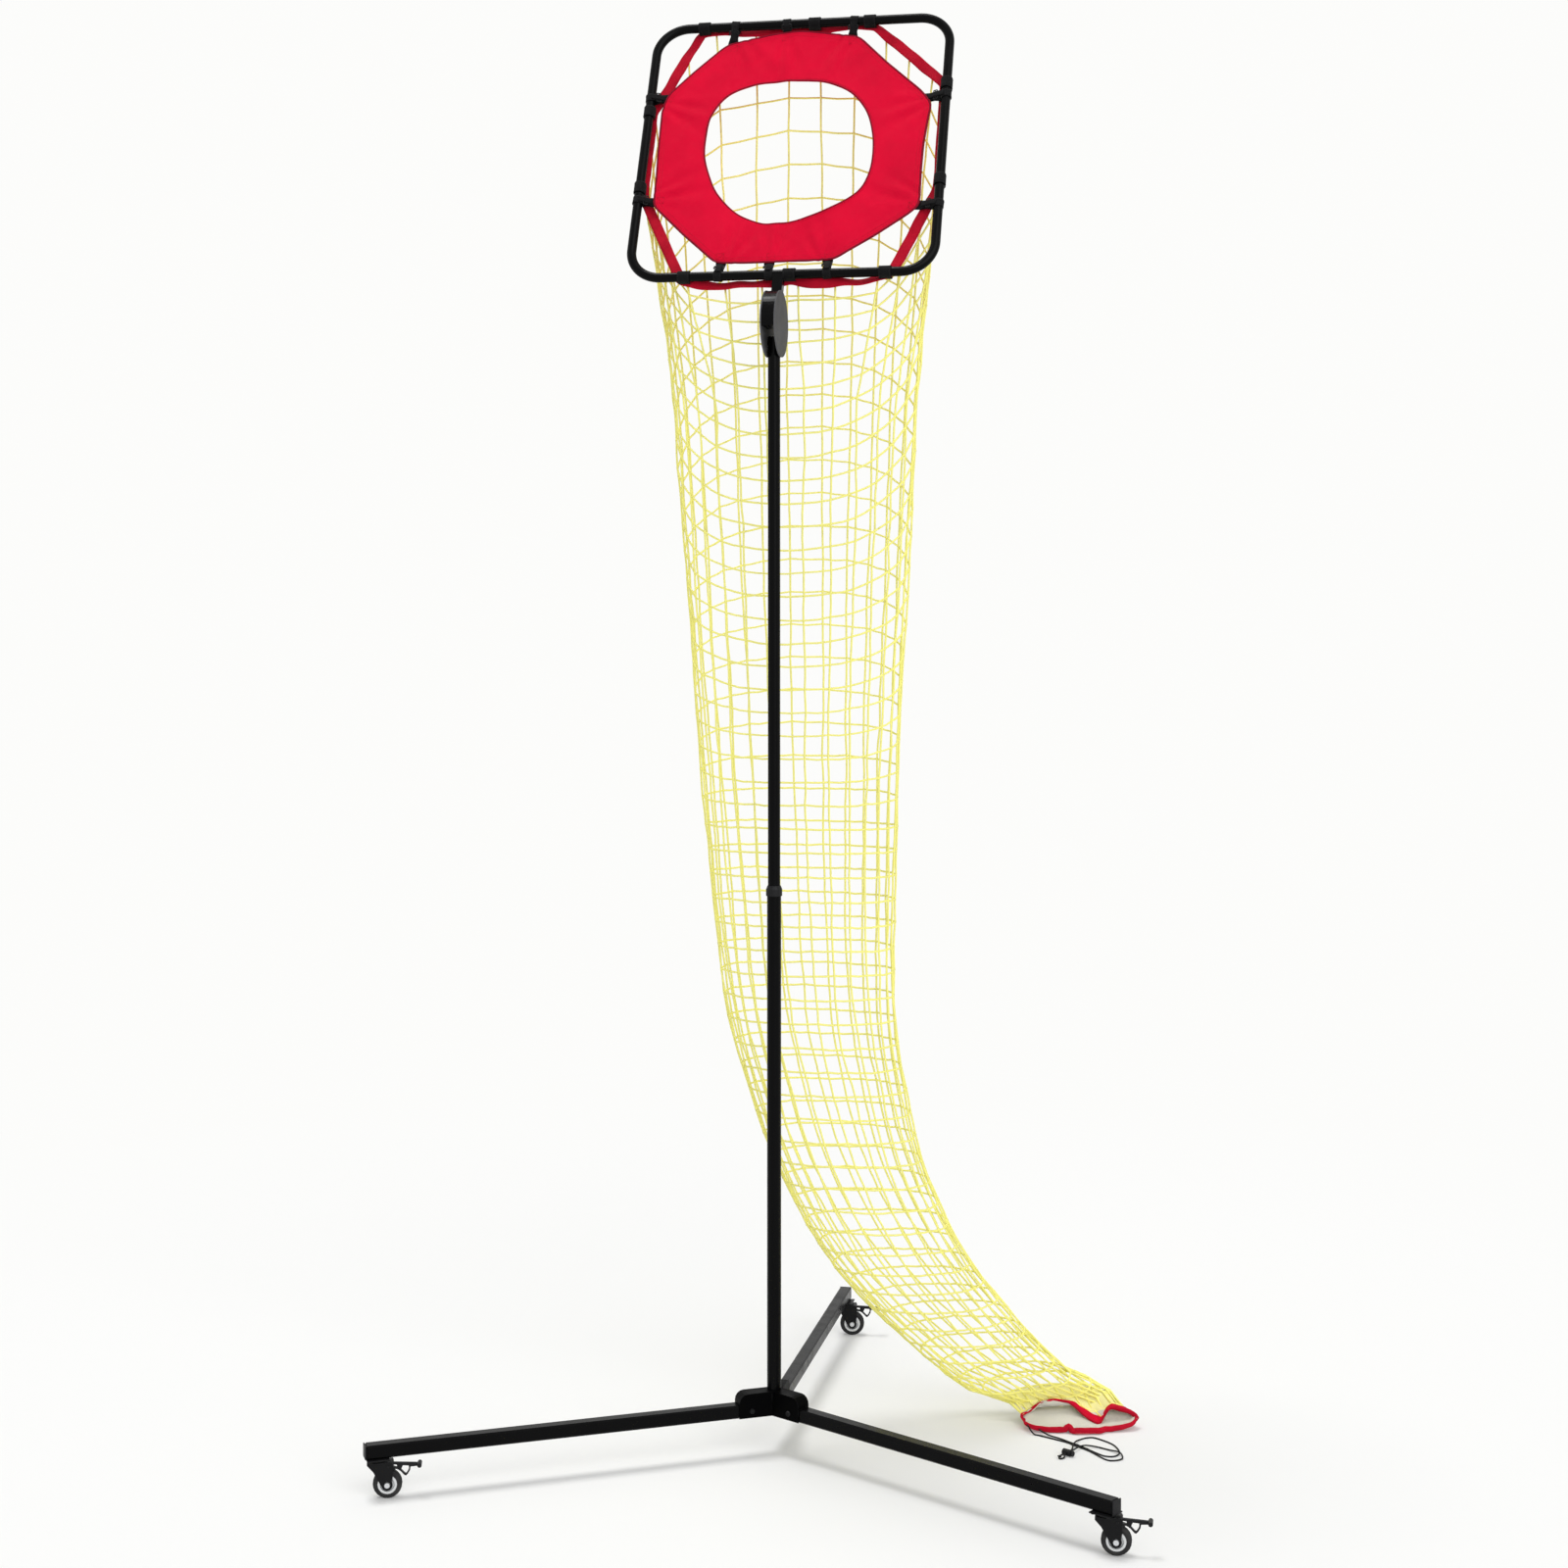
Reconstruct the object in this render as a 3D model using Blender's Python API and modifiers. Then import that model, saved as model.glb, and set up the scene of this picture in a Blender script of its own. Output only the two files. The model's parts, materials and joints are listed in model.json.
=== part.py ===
"""Setter target for volleyball: a fabric panel with a ball hole in a tilting head frame, on a wheeled
telescopic stand, and a net chute that brings the ball down behind the pole. Metres, +Z up, front to -Y."""

import math

import bmesh
import bpy
import numpy as np
from mathutils import Matrix, Vector

# The pole stands here, so that the whole object is centred on the origin
POLE_X = -0.030
POLE_Y = -0.225

# Fits
CLEAR = 0.0003
WALL = 0.0015

# Casters, leg spread and the height of the legs
WHEEL_DIA = 0.063
WHEEL_WIDE = 0.022
CASTER_TRAIL = 0.022
CASTER_TALL = 0.0882
SWIVEL_RADIUS = 0.902
LEG_ANGLES = {"rear": 90.0, "left": 210.0, "right": 330.0}
SWIVEL_REST = {"rear": 9.0, "left": 17.0, "right": 1.5}
PLATE_SIDE = 0.050
PLATE_THICK = 0.003
RACE_TALL = 0.0043
FORK_THICK = 0.0025
FORK_INSIDE = 0.0265
KINGPIN = 0.010
BRAKE_PIVOT = (0.003, 0.040)
LEVER_THICK = 0.007
SHOE_WIDE = 0.016
FOOT_DIA = 0.0098
FOOT_LONG = 0.025

# Legs and hub
LEG_SIDE = 0.030
LEG_WALL = 0.002
LEG_PAST_CASTER = 0.025
CAP_FLANGE = 0.003
HUB_TALL = 0.055
HUB_REACH = 0.088
HUB_WALL = 0.003
HUB_CORE = 0.028
HUB_ROUND = 0.020
HUB_FLOOR = 0.006
LEG_BOLT_AT = 0.058
BOLT_SHANK = 0.008
BOLT_HEAD = 0.013
BOLT_HEAD_TALL = 0.0025

# Telescopic mast
INNER_DIA = 0.028
MAST_SLIP = 0.0005
JOINT_Z = 1.280
OVERLAP = 0.150
PIVOT_Z = 2.558
MAST_BELOW_PIVOT = 0.029
HOLE_STEP = 0.200
HOLE_COUNT = 6
HOLE_DIA = 0.0086
BUTTON_DIA = 0.0076
BUTTON_RISE = 0.070

# Tilt bracket
CHEEK_DIA = 0.150
CHEEK_THICK = 0.003
CHEEK_BOLTS = (0.043, 0.062)
SLOT_RADIUS = 0.050
SLOT_FROM = -1.3
SLOT_TO = 81.3
STUD_SUNK = 0.0020
KNUCKLE_MARGIN = 0.001
KNUCKLE_DOWN = 0.011
KNUCKLE_SWING = 56.5
STEM_WIDE = 0.024
STEM_DEEP = 0.020

# Head: leaning back from upright, its tube frame and its fabric
HEAD_LEAN = 25.0
FRAME_HALF_WIDE = 0.354
FRAME_LOW = 0.130
FRAME_HIGH = 0.830
FRAME_CORNER = 0.075
FRAME_TUBE = 0.022
WEBBING = 0.020
WEBBING_THICK = 0.0015
STRAP_REACH = 0.040
PANEL_THICK = 0.003
STRAP_MARGIN = 0.012
BALL_HOLE = 0.396
HOLE_AT = (-0.009, 0.4655)
PANEL_TOP = (-0.165, -0.040, 0.123)
PANEL_LOW = (-0.142, -0.0235, 0.111)
PANEL_LEFT = (0.628, 0.341)
PANEL_RIGHT = (0.606, 0.306)
NET_TOP = (-0.242, 0.027, 0.160)
NET_LOW = (-0.222, 0.0240, 0.244)
NET_LEFT = (0.590, 0.376)
NET_RIGHT = (0.638, 0.372)
BAND_WIDE = 0.024
BAND_THICK = 0.0018
BAND_INSET = 0.006
BAND_SAG = 0.002
LOOP_SIDES = 16

# Net chute: lateral and depth half-axes of its level rings, from under the head to the cuff. Each height is
# a share of the first ring's, which lies this far below the tilt pivot
NET_DROP = 0.158
NET_STRAND = 0.004
CUFF_TUCK = 0.0092
NET_COLUMNS = 10
NET_FALL_ROWS = 3
NET_ROWS = 15
CHUTE = (
    ((0.004, 0.222, 1.0), (0.288, 0.0, 0.0), (0.0, 0.122, 0.0)),
    ((0.010, 0.214, 0.81667), (0.260, 0.0, 0.0), (0.0, 0.116, 0.0)),
    ((0.018, 0.210, 0.625), (0.231, 0.0, 0.0), (0.0, 0.112, 0.0)),
    ((0.038, 0.213, 0.43333), (0.203, 0.004, 0.0), (-0.004, 0.110, 0.0)),
    ((0.077, 0.220, 0.3375), (0.185, 0.010, 0.0), (-0.010, 0.110, 0.0)),
    ((0.146, 0.234, 0.24167), (0.172, 0.016, 0.0), (-0.014, 0.108, 0.002)),
    ((0.275, 0.266, 0.145), (0.158, 0.022, 0.004), (-0.014, 0.100, 0.006)),
    ((0.489, 0.340, 0.04667), (0.130, 0.026, 0.006), (-0.004, 0.056, 0.020)),
    ((0.600, 0.364, 0.02583), (0.125, 0.029, 0.002), (0.000, 0.024, 0.026)),
)
CUFF_BACK = ((0.655, 0.315, 0.0288), (0.126, 0.030, 0.0), (0.0, 0.015, 0.0233))
CUFF_MOUTH = ((0.673, 0.281, 0.0225), (0.126, 0.030, 0.0), (0.0, 0.024, 0.0170))
CUFF_THICK = 0.002
CUFF_SIDES = 24

# Cord of the cuff and its lock
CORD_DIA = 0.003
CORD_POINTS = 74
CORD_EXITS = (195.0, 225.0)
LOCK_AT = (0.656, 0.104, 0.0078)
LOCK_TURN = -29.5
LOCK_DIA = 0.015
LOCK_LONG = 0.022
LOCK_BUTTON = 0.010
LOCK_BORE_DEEP = 0.0060
CORD_ROUTE = (
    (0.5610, 0.2290, 0.0090),
    (0.5700, 0.2240, 0.0024),
    (0.5830, 0.2200, 0.0018),
    (0.6450, 0.1885, 0.0018),
    (0.6640, 0.1720, 0.0018),
    (0.6880, 0.1530, 0.0018),
    (0.7090, 0.1330, 0.0018),
    (0.7440, 0.0920, 0.0018),
    (0.7640, 0.0900, 0.0018),
    (0.7800, 0.1040, 0.0030),
    (0.7720, 0.1330, 0.0058),
    (0.7450, 0.1560, 0.0022),
    (0.7160, 0.1680, 0.0030),
    (0.6920, 0.1640, 0.0058),
    (0.6780, 0.1490, 0.0062),
    (0.6674, 0.1215, 0.0078),
    (0.6517, 0.0927, 0.0072),
    (0.6515, 0.0834, 0.0030),
    (0.6418, 0.0762, 0.0018),
    (0.6400, 0.0890, 0.0030),
    (0.6485, 0.0945, 0.0072),
    (0.6642, 0.1233, 0.0078),
    (0.6646, 0.1600, 0.0062),
    (0.6690, 0.1870, 0.0055),
    (0.6770, 0.2120, 0.0018),
    (0.6920, 0.2270, 0.0018),
    (0.7100, 0.2290, 0.0018),
    (0.7480, 0.1990, 0.0018),
    (0.7650, 0.1680, 0.0018),
    (0.7710, 0.1400, 0.0018),
    (0.7630, 0.1180, 0.0018),
    (0.7450, 0.1130, 0.0018),
    (0.7260, 0.1240, 0.0018),
    (0.6810, 0.1685, 0.0018),
    (0.6560, 0.1880, 0.0018),
    (0.6320, 0.2080, 0.0018),
    (0.6130, 0.2200, 0.0018),
    (0.5985, 0.2275, 0.0034),
)

# What follows from the sizes above
SIDES = 32
AXIS = Vector((POLE_X, POLE_Y, 0.0))
LEG_LOW = CASTER_TALL + CLEAR
LEG_END = SWIVEL_RADIUS + LEG_PAST_CASTER
HUB_WIDE = LEG_SIDE + 2 * HUB_WALL
OUTER_DIA = INNER_DIA + 2 * (WALL + MAST_SLIP)
AXLE_Z = WHEEL_DIA / 2
FORK_TOP = CASTER_TALL - PLATE_THICK - RACE_TALL
INSERT_END = JOINT_Z - OVERLAP
BUTTON_Z = INSERT_END + BUTTON_RISE
MAST_TOP = PIVOT_Z - MAST_BELOW_PIVOT
CHEEK_AT = INNER_DIA / 2 + CLEAR + CHEEK_THICK / 2
PANEL_HALF = FRAME_HALF_WIDE - STRAP_REACH
PANEL_HIGH = FRAME_HIGH - STRAP_REACH
PANEL_BOTTOM = FRAME_LOW + STRAP_REACH
BAND_MID = -(FRAME_TUBE / 2 + CLEAR + WEBBING_THICK + BAND_THICK / 2)
BAND_HALF = FRAME_HALF_WIDE - BAND_INSET
BAND_HIGH = FRAME_HIGH - BAND_INSET
BAND_BOTTOM = FRAME_LOW - BAND_SAG
PIVOT = AXIS + Vector((0.0, 0.0, PIVOT_Z))
HEAD_TURN = Matrix.Rotation(math.radians(90.0 - HEAD_LEAN), 4, "X")
HEAD = Matrix.Translation(PIVOT) @ HEAD_TURN
FRAME_MIDDLE = (FRAME_LOW + FRAME_HIGH) / 2


def clear_scene():
    for obj in list(bpy.data.objects):
        bpy.data.objects.remove(obj, do_unlink=True)


def new_collection(name, hidden):
    made = bpy.data.collections.new(name)
    made.hide_render = hidden
    bpy.context.scene.collection.children.link(made)
    return made


clear_scene()
MODEL = new_collection("setter_target", False)
SHOP = new_collection("cutters", True)


def material(name, colour, roughness, metallic):
    made = bpy.data.materials.new(name)
    made.use_nodes = True
    shader = made.node_tree.nodes["Principled BSDF"]
    shader.inputs["Base Color"].default_value = (*colour, 1.0)
    shader.inputs["Roughness"].default_value = roughness
    shader.inputs["Metallic"].default_value = metallic
    made.diffuse_color = (*colour, 1.0)
    made.roughness = roughness
    made.metallic = metallic
    return made


BLACK_PAINT = ((0.012, 0.012, 0.014), 0.38, 0.0)
ZINC = ((0.62, 0.63, 0.65), 0.30, 1.0)
BLACK_STEEL = ((0.030, 0.031, 0.034), 0.42, 1.0)
RUBBER = ((0.015, 0.015, 0.016), 0.80, 0.0)
WHEEL_SILVER = ((0.55, 0.56, 0.57), 0.38, 0.6)
BLACK_PLASTIC = ((0.018, 0.018, 0.020), 0.50, 0.0)
GREY_PAINT = ((0.13, 0.13, 0.14), 0.45, 0.0)
RED_FABRIC = ((0.61, 0.004, 0.032), 0.82, 0.0)
BLACK_WEBBING = ((0.014, 0.014, 0.015), 0.88, 0.0)
YELLOW_CORD = ((0.86, 0.80, 0.10), 0.70, 0.0)
CORD_BLACK = ((0.012, 0.012, 0.013), 0.78, 0.0)


def helper(name, mesh):
    """A shape that is only used to make another one."""
    obj = bpy.data.objects.new(name, mesh)
    SHOP.objects.link(obj)
    obj.hide_render = True
    obj.display_type = "WIRE"
    return obj


def mesh_from(fill, name="shape"):
    bm = bmesh.new()
    fill(bm)
    mesh = bpy.data.meshes.new(name)
    bm.to_mesh(mesh)
    bm.free()
    return mesh


def box(size, middle):
    def fill(bm):
        place = Matrix.Translation(middle) @ Matrix.Diagonal((*size, 1.0))
        bmesh.ops.create_cube(bm, size=1.0, matrix=place)

    return helper("box", mesh_from(fill))


TURN_TO = {
    "X": Matrix.Rotation(math.pi / 2, 4, "Y"),
    "Y": Matrix.Rotation(-math.pi / 2, 4, "X"),
    "Z": Matrix.Identity(4),
}


def rod(radius, length, middle, axis="Z", sides=SIDES):
    def fill(bm):
        place = Matrix.Translation(middle) @ TURN_TO[axis]
        bmesh.ops.create_cone(
            bm, cap_ends=True, segments=sides, radius1=radius, radius2=radius, depth=length, matrix=place
        )

    return helper("rod", mesh_from(fill))


def lathe(profile, axis="Z", sides=SIDES):
    """A closed (radius, height) outline turned about the axis, open where it touches the axis."""
    on_axis = profile[0][0] == 0.0
    mesh = bpy.data.meshes.new("profile")
    count = len(profile)
    edges = [(i, (i + 1) % count) for i in range(count - 1 if on_axis else count)]
    mesh.from_pydata([(r, 0.0, z) for r, z in profile], edges, [])
    obj = helper("lathe", mesh)
    screw = obj.modifiers.new("turn", "SCREW")
    screw.steps = sides
    screw.render_steps = sides
    screw.use_merge_vertices = True
    screw.merge_threshold = 0.00005
    screw.use_normal_calculate = True
    made = baked(obj)
    made.data.transform(TURN_TO[axis])
    return made


def outline_solid(outlines, thick):
    """Flat outlines in XY, the later ones as holes, given a thickness about Z."""
    curve = bpy.data.curves.new("outline", "CURVE")
    curve.dimensions = "2D"
    curve.fill_mode = "BOTH"
    curve.extrude = thick / 2
    for outline in outlines:
        spline = curve.splines.new("POLY")
        spline.points.add(len(outline) - 1)
        for point, (x, y) in zip(spline.points, outline):
            point.co = (x, y, 0.0, 1.0)
        spline.use_cyclic_u = True
    return baked(helper("outline", curve))


def pipe(points, radius, resolution=2, closed=False):
    curve = bpy.data.curves.new("pipe", "CURVE")
    curve.dimensions = "3D"
    curve.bevel_depth = radius
    curve.bevel_resolution = resolution
    curve.use_fill_caps = not closed
    spline = curve.splines.new("POLY")
    spline.points.add(len(points) - 1)
    for point, place in zip(spline.points, points):
        point.co = (*place, 1.0)
    spline.use_cyclic_u = closed
    return baked(helper("pipe", curve))


def baked(obj):
    """The shape as its modifiers leave it, in place of the one that was drawn."""
    bpy.context.view_layer.update()
    graph = bpy.context.evaluated_depsgraph_get()
    mesh = bpy.data.meshes.new_from_object(obj.evaluated_get(graph))
    mesh.transform(obj.matrix_world)
    bm = bmesh.new()
    bm.from_mesh(mesh)
    bmesh.ops.remove_doubles(bm, verts=bm.verts, dist=0.000002)
    bmesh.ops.recalc_face_normals(bm, faces=bm.faces)
    bm.to_mesh(mesh)
    bm.free()
    bpy.data.objects.remove(obj, do_unlink=True)
    return helper("made", mesh)


def combine(first, others, operation):
    for other in others:
        step = first.modifiers.new("combine", "BOOLEAN")
        step.operation = operation
        step.solver = "EXACT"
        step.object = other
    made = baked(first)
    for other in others:
        bpy.data.objects.remove(other, do_unlink=True)
    return made


def union(first, *others):
    return combine(first, others, "UNION")


def cut(first, *others):
    return combine(first, others, "DIFFERENCE")


def moved(obj, matrix):
    obj.data.transform(matrix)
    return obj


def round_edges(obj, width, segments=2, angle=40.0):
    bevel = obj.modifiers.new("edge", "BEVEL")
    bevel.width = width
    bevel.segments = segments
    bevel.limit_method = "ANGLE"
    bevel.angle_limit = math.radians(angle)
    bevel.use_clamp_overlap = True
    return baked(obj)


def part(name, mesh, look, place=None, smooth=40.0):
    obj = bpy.data.objects.new(name, mesh)
    MODEL.objects.link(obj)
    obj.matrix_world = place if place is not None else Matrix.Identity(4)
    if not mesh.materials:
        mesh.materials.append(material(name, *look))
    if smooth:
        mesh.shade_smooth()
        mesh.set_sharp_from_angle(angle=math.radians(smooth))
    return obj


def take(made):
    """The mesh of a helper shape, which is then removed."""
    mesh = made.data
    bpy.data.objects.remove(made, do_unlink=True)
    return mesh


def arc(centre, radius, start, end, steps):
    turns = [math.radians(start + (end - start) * i / steps) for i in range(steps + 1)]
    return [(centre[0] + radius * math.cos(a), centre[1] + radius * math.sin(a)) for a in turns]


def circle(centre, radius, steps):
    return arc(centre, radius, 0.0, 360.0, steps)[:-1]


def around(angle, radius=0.0, height=0.0):
    """A frame at the pole, turned by this angle, moved out along its own X and up."""
    turn = Matrix.Rotation(math.radians(angle), 4, "Z")
    return Matrix.Translation(AXIS) @ turn @ Matrix.Translation((radius, 0.0, height))


def smooth_path(points, count, closed=False):
    """Points at equal steps along a cubic curve through the given ones."""
    route = [Vector(p) for p in points]
    ends = [route[-1], route[0], route[1]] if closed else None
    before = ends[0] if closed else 2 * route[0] - route[1]
    chain = [before] + route + (ends[1:] if closed else [2 * route[-1] - route[-2]])
    fine = []
    for a, b, c, d in zip(chain, chain[1:], chain[2:], chain[3:]):
        for i in range(24):
            t = i / 24
            fine.append(
                0.5 * (2 * b + (c - a) * t + (2 * a - 5 * b + 4 * c - d) * t * t
                       + (3 * b - a - 3 * c + d) * t ** 3)
            )
    fine.append(route[0] if closed else route[-1])
    run = np.concatenate([[0.0], np.cumsum([(q - p).length for p, q in zip(fine, fine[1:])])])
    wanted = np.linspace(0.0, run[-1], count)
    table = np.array(fine)
    return [Vector([np.interp(w, run, table[:, k]) for k in range(3)]) for w in wanted]


def bolt_mesh(span, axis, sides=12):
    """A cross bolt with a low round head on each side of a stack of this span."""
    half = span / 2 + CLEAR
    tip = half + BOLT_HEAD_TALL
    shank = BOLT_SHANK / 2
    head = BOLT_HEAD / 2
    rim = head - 0.0015
    profile = [(0.0, tip), (rim, tip), (head, half), (shank, half)]
    profile += [(r, -z) for r, z in reversed(profile)]
    return take(lathe(profile, axis, sides))


def stud_mesh(left, right):
    """A cross bolt along X with its head outside the left face and its end inside the right side."""
    face = left + CLEAR
    tip = face + BOLT_HEAD_TALL
    shank = BOLT_SHANK / 2
    head = BOLT_HEAD / 2
    rim = head - 0.0015
    profile = [(0.0, right), (shank, right), (shank, -face), (head, -face), (rim, -tip), (0.0, -tip)]
    return take(lathe(profile, "X", 12))


def build_hub():
    half = HUB_TALL / 2
    arms = None
    low = LEG_LOW
    top = low + HUB_TALL
    for angle in LEG_ANGLES.values():
        bend = arc((HUB_REACH - HUB_ROUND, top - HUB_ROUND), HUB_ROUND, 90.0, 0.0, 4)
        side = [(0.0, low), (0.0, top)] + bend + [(HUB_REACH, low)]
        arm = outline_solid([side], HUB_WIDE)
        moved(arm, Matrix.Rotation(math.radians(angle), 4, "Z") @ Matrix.Rotation(math.pi / 2, 4, "X"))
        arms = arm if arms is None else union(arms, arm)
    channel_top = low + LEG_SIDE + CLEAR
    wide = LEG_SIDE + 2 * CLEAR
    roof = top - HUB_WALL
    inner_round = HUB_ROUND - HUB_WALL
    for angle in LEG_ANGLES.values():
        turn = Matrix.Rotation(math.radians(angle), 4, "Z")
        bend = arc((HUB_REACH - HUB_ROUND, top - HUB_ROUND), inner_round, 90.0, 0.0, 4)
        hollow = [(HUB_CORE, channel_top - 0.002), (HUB_CORE, roof)] + bend
        hollow += [(HUB_REACH - HUB_WALL, channel_top - 0.002)]
        inside = outline_solid([hollow], wide)
        moved(inside, turn @ Matrix.Rotation(math.pi / 2, 4, "X"))
        slot_low = low - 0.002
        slot_at = (HUB_CORE + HUB_REACH / 2, 0.0, (channel_top + slot_low) / 2)
        slot = box((HUB_REACH, wide, channel_top - slot_low), slot_at)
        moved(slot, turn)
        hole = rod(HOLE_DIA / 2, 2 * HUB_WIDE, (LEG_BOLT_AT, 0.0, low + LEG_SIDE / 2), "Y", 10)
        moved(hole, turn)
        arms = cut(arms, union(inside, slot), hole)
    socket = rod(OUTER_DIA / 2 + CLEAR, HUB_TALL, (0.0, 0.0, low + HUB_FLOOR + half))
    arms = cut(arms, socket)
    part("hub", take(arms), BLACK_PAINT, Matrix.Translation(AXIS), 30.0)


def build_legs():
    inner = HUB_CORE + 0.0005
    long = LEG_END - inner
    middle = (inner + LEG_END) / 2
    tube = round_edges(box((long, LEG_SIDE, LEG_SIDE), (middle, 0.0, 0.0)), 0.003, 1)
    bore_side = LEG_SIDE - 2 * LEG_WALL
    bore = box((long + 0.02, bore_side, bore_side), (middle, 0.0, 0.0))
    hole = rod(HOLE_DIA / 2, 2 * LEG_SIDE, (LEG_BOLT_AT, 0.0, 0.0), "Y", 10)
    leg = take(cut(tube, bore, hole))
    flange = box((CAP_FLANGE, LEG_SIDE, LEG_SIDE), (CAP_FLANGE / 2 + CLEAR, 0.0, 0.0))
    flange = round_edges(flange, 0.0012, 1)
    plug_side = bore_side - 2 * CLEAR - 0.0010
    plug = box((0.016, plug_side, plug_side), (-0.006, 0.0, 0.0))
    cap = take(union(flange, plug))
    bolt = bolt_mesh(HUB_WIDE, "Y")
    height = LEG_LOW + LEG_SIDE / 2
    for name, angle in LEG_ANGLES.items():
        part("leg_tube_" + name, leg, BLACK_PAINT, around(angle, 0.0, height))
        part("leg_cap_" + name, cap, BLACK_PLASTIC, around(angle, LEG_END, height))
        part("leg_bolt_" + name, bolt, BLACK_STEEL, around(angle, LEG_BOLT_AT, height))


def fork_side():
    """Outline of a fork side in the wheel's plane, from the swivel axis."""
    x = CASTER_TRAIL
    z = AXLE_Z
    boss = arc((x, z), 0.0118, 220.0, 390.0, 7)
    top = FORK_TOP
    front = [(-0.021, top), (-0.021, top - 0.006), (-0.008, top - 0.020)]
    back = [(x + 0.0125, z + 0.020), (x + 0.0125, top - 0.004), (x + 0.0105, top)]
    return front + boss + back


def build_casters():
    pin_low = FORK_TOP - FORK_THICK - CLEAR
    plate_low = CASTER_TALL - PLATE_THICK
    plate = round_edges(box((PLATE_SIDE, PLATE_SIDE, PLATE_THICK),
                            (0.0, 0.0, CASTER_TALL - PLATE_THICK / 2)), 0.0009, 1)
    race_low = FORK_TOP + CLEAR
    race = rod(0.0185, plate_low - race_low + 0.001, (0.0, 0.0, (plate_low + race_low + 0.001) / 2), "Z", 16)
    pin = rod(KINGPIN / 2, CASTER_TALL - pin_low, (0.0, 0.0, (CASTER_TALL + pin_low) / 2 - 0.001), "Z", 10)
    rivet = rod(0.0080, 0.0022, (0.0, 0.0, pin_low - 0.0011), "Z", 12)
    studs = []
    for sx in (-1, 1):
        for sy in (-1, 1):
            spot = (sx * 0.0185, sy * 0.0185, plate_low - 0.0008)
            studs.append(rod(0.0038, 0.0026, spot, "Z", 6))
    plate = take(union(plate, race, pin, rivet, *studs))

    side = fork_side()
    gap = FORK_INSIDE / 2
    flip = Matrix.Rotation(math.pi / 2, 4, "X")
    sides = []
    for sign in (-1, 1):
        cheek = moved(outline_solid([side], FORK_THICK), flip)
        sides.append(moved(cheek, Matrix.Translation((0.0, sign * (gap + FORK_THICK / 2), 0.0))))
    crown = box((0.0535, FORK_INSIDE + 0.001, FORK_THICK), (0.0058, 0.0, FORK_TOP - FORK_THICK / 2))
    dome = rod(0.0215, FORK_THICK, (0.0, 0.0, FORK_TOP - FORK_THICK / 2), "Z", 16)
    fork = union(crown, *sides, dome)
    king = rod(KINGPIN / 2 + CLEAR, 0.03, (0.0, 0.0, FORK_TOP), "Z", 12)
    axle_hole = rod(HOLE_DIA / 2, 0.08, (CASTER_TRAIL, 0.0, AXLE_Z), "Y", 10)
    px = CASTER_TRAIL + BRAKE_PIVOT[0]
    pz = AXLE_Z + BRAKE_PIVOT[1]
    pivot_hole = rod(0.0029, 0.08, (px, 0.0, pz), "Y", 8)
    fork = cut(fork, king, axle_hole, pivot_hole)
    fork = take(moved(fork, Matrix.Translation((0.0, 0.0, -FORK_TOP))))

    big = WHEEL_DIA / 2
    bore = 0.0210
    half = WHEEL_WIDE / 2
    tread = [(bore, half), (big - 0.0050, half), (big - 0.0012, half - 0.0030), (big, half - 0.0065)]
    tyre = take(lathe(tread + [(r, -z) for r, z in reversed(tread)], "Y", 24))
    rim = bore - CLEAR
    core_half = half - 0.0002
    hub_half = FORK_INSIDE / 2 - 0.0006
    web = [(0.0043, hub_half), (0.0092, hub_half), (0.0100, 0.0035), (0.0150, 0.0035), (0.0158, core_half),
           (rim, core_half)]
    core = take(lathe(web + [(r, -z) for r, z in reversed(web)], "Y", 20))
    reach = FORK_INSIDE / 2 + FORK_THICK + CLEAR
    head = [(0.0, reach + 0.0030), (0.0058, reach + 0.0030), (0.0070, reach), (0.0040, reach)]
    axle = take(lathe(head + [(r, -z) for r, z in reversed(head)], "Y", 12))

    lever = [(-0.0020, 0.0440), (-0.0020, 0.0370), (0.0010, 0.0345), (0.0058, 0.0332), (0.0118, 0.0328),
             (0.0179, 0.0312), (0.0237, 0.0288), (0.0290, 0.0247), (0.0365, 0.0166), (0.0400, 0.0158),
             (0.0440, 0.0200), (0.0485, 0.0275), (0.0495, 0.0348), (0.0680, 0.0362), (0.0680, 0.0422),
             (0.0080, 0.0452)]
    near_window = [(0.0075, 0.0354), (0.0125, 0.0352), (0.0180, 0.0338), (0.0212, 0.0350), (0.0200, 0.0398),
                   (0.0090, 0.0408)]
    far_window = [(0.0290, 0.0292), (0.0377, 0.0203), (0.0403, 0.0200), (0.0440, 0.0255), (0.0460, 0.0310),
                  (0.0455, 0.0372), (0.0330, 0.0380)]
    shoe = [(0.0058, 0.0332), (0.0118, 0.0328), (0.0179, 0.0312), (0.0184, 0.0330), (0.0121, 0.0346),
            (0.0061, 0.0350)]
    arm = moved(outline_solid([lever, near_window, far_window], LEVER_THICK), flip)
    pad = moved(outline_solid([shoe], SHOE_WIDE), flip)
    foot = rod(FOOT_DIA / 2, FOOT_LONG, (0.0688, 0.0, 0.0392), "Y", 12)
    pin_long = FORK_INSIDE + 2 * FORK_THICK + 0.002
    brake_pin = rod(0.0025, pin_long, (BRAKE_PIVOT[0], 0.0, BRAKE_PIVOT[1]), "Y", 8)
    pedal = union(arm, pad, foot, brake_pin)
    pedal = take(moved(pedal, Matrix.Translation((-BRAKE_PIVOT[0], 0.0, -BRAKE_PIVOT[1]))))

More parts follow.
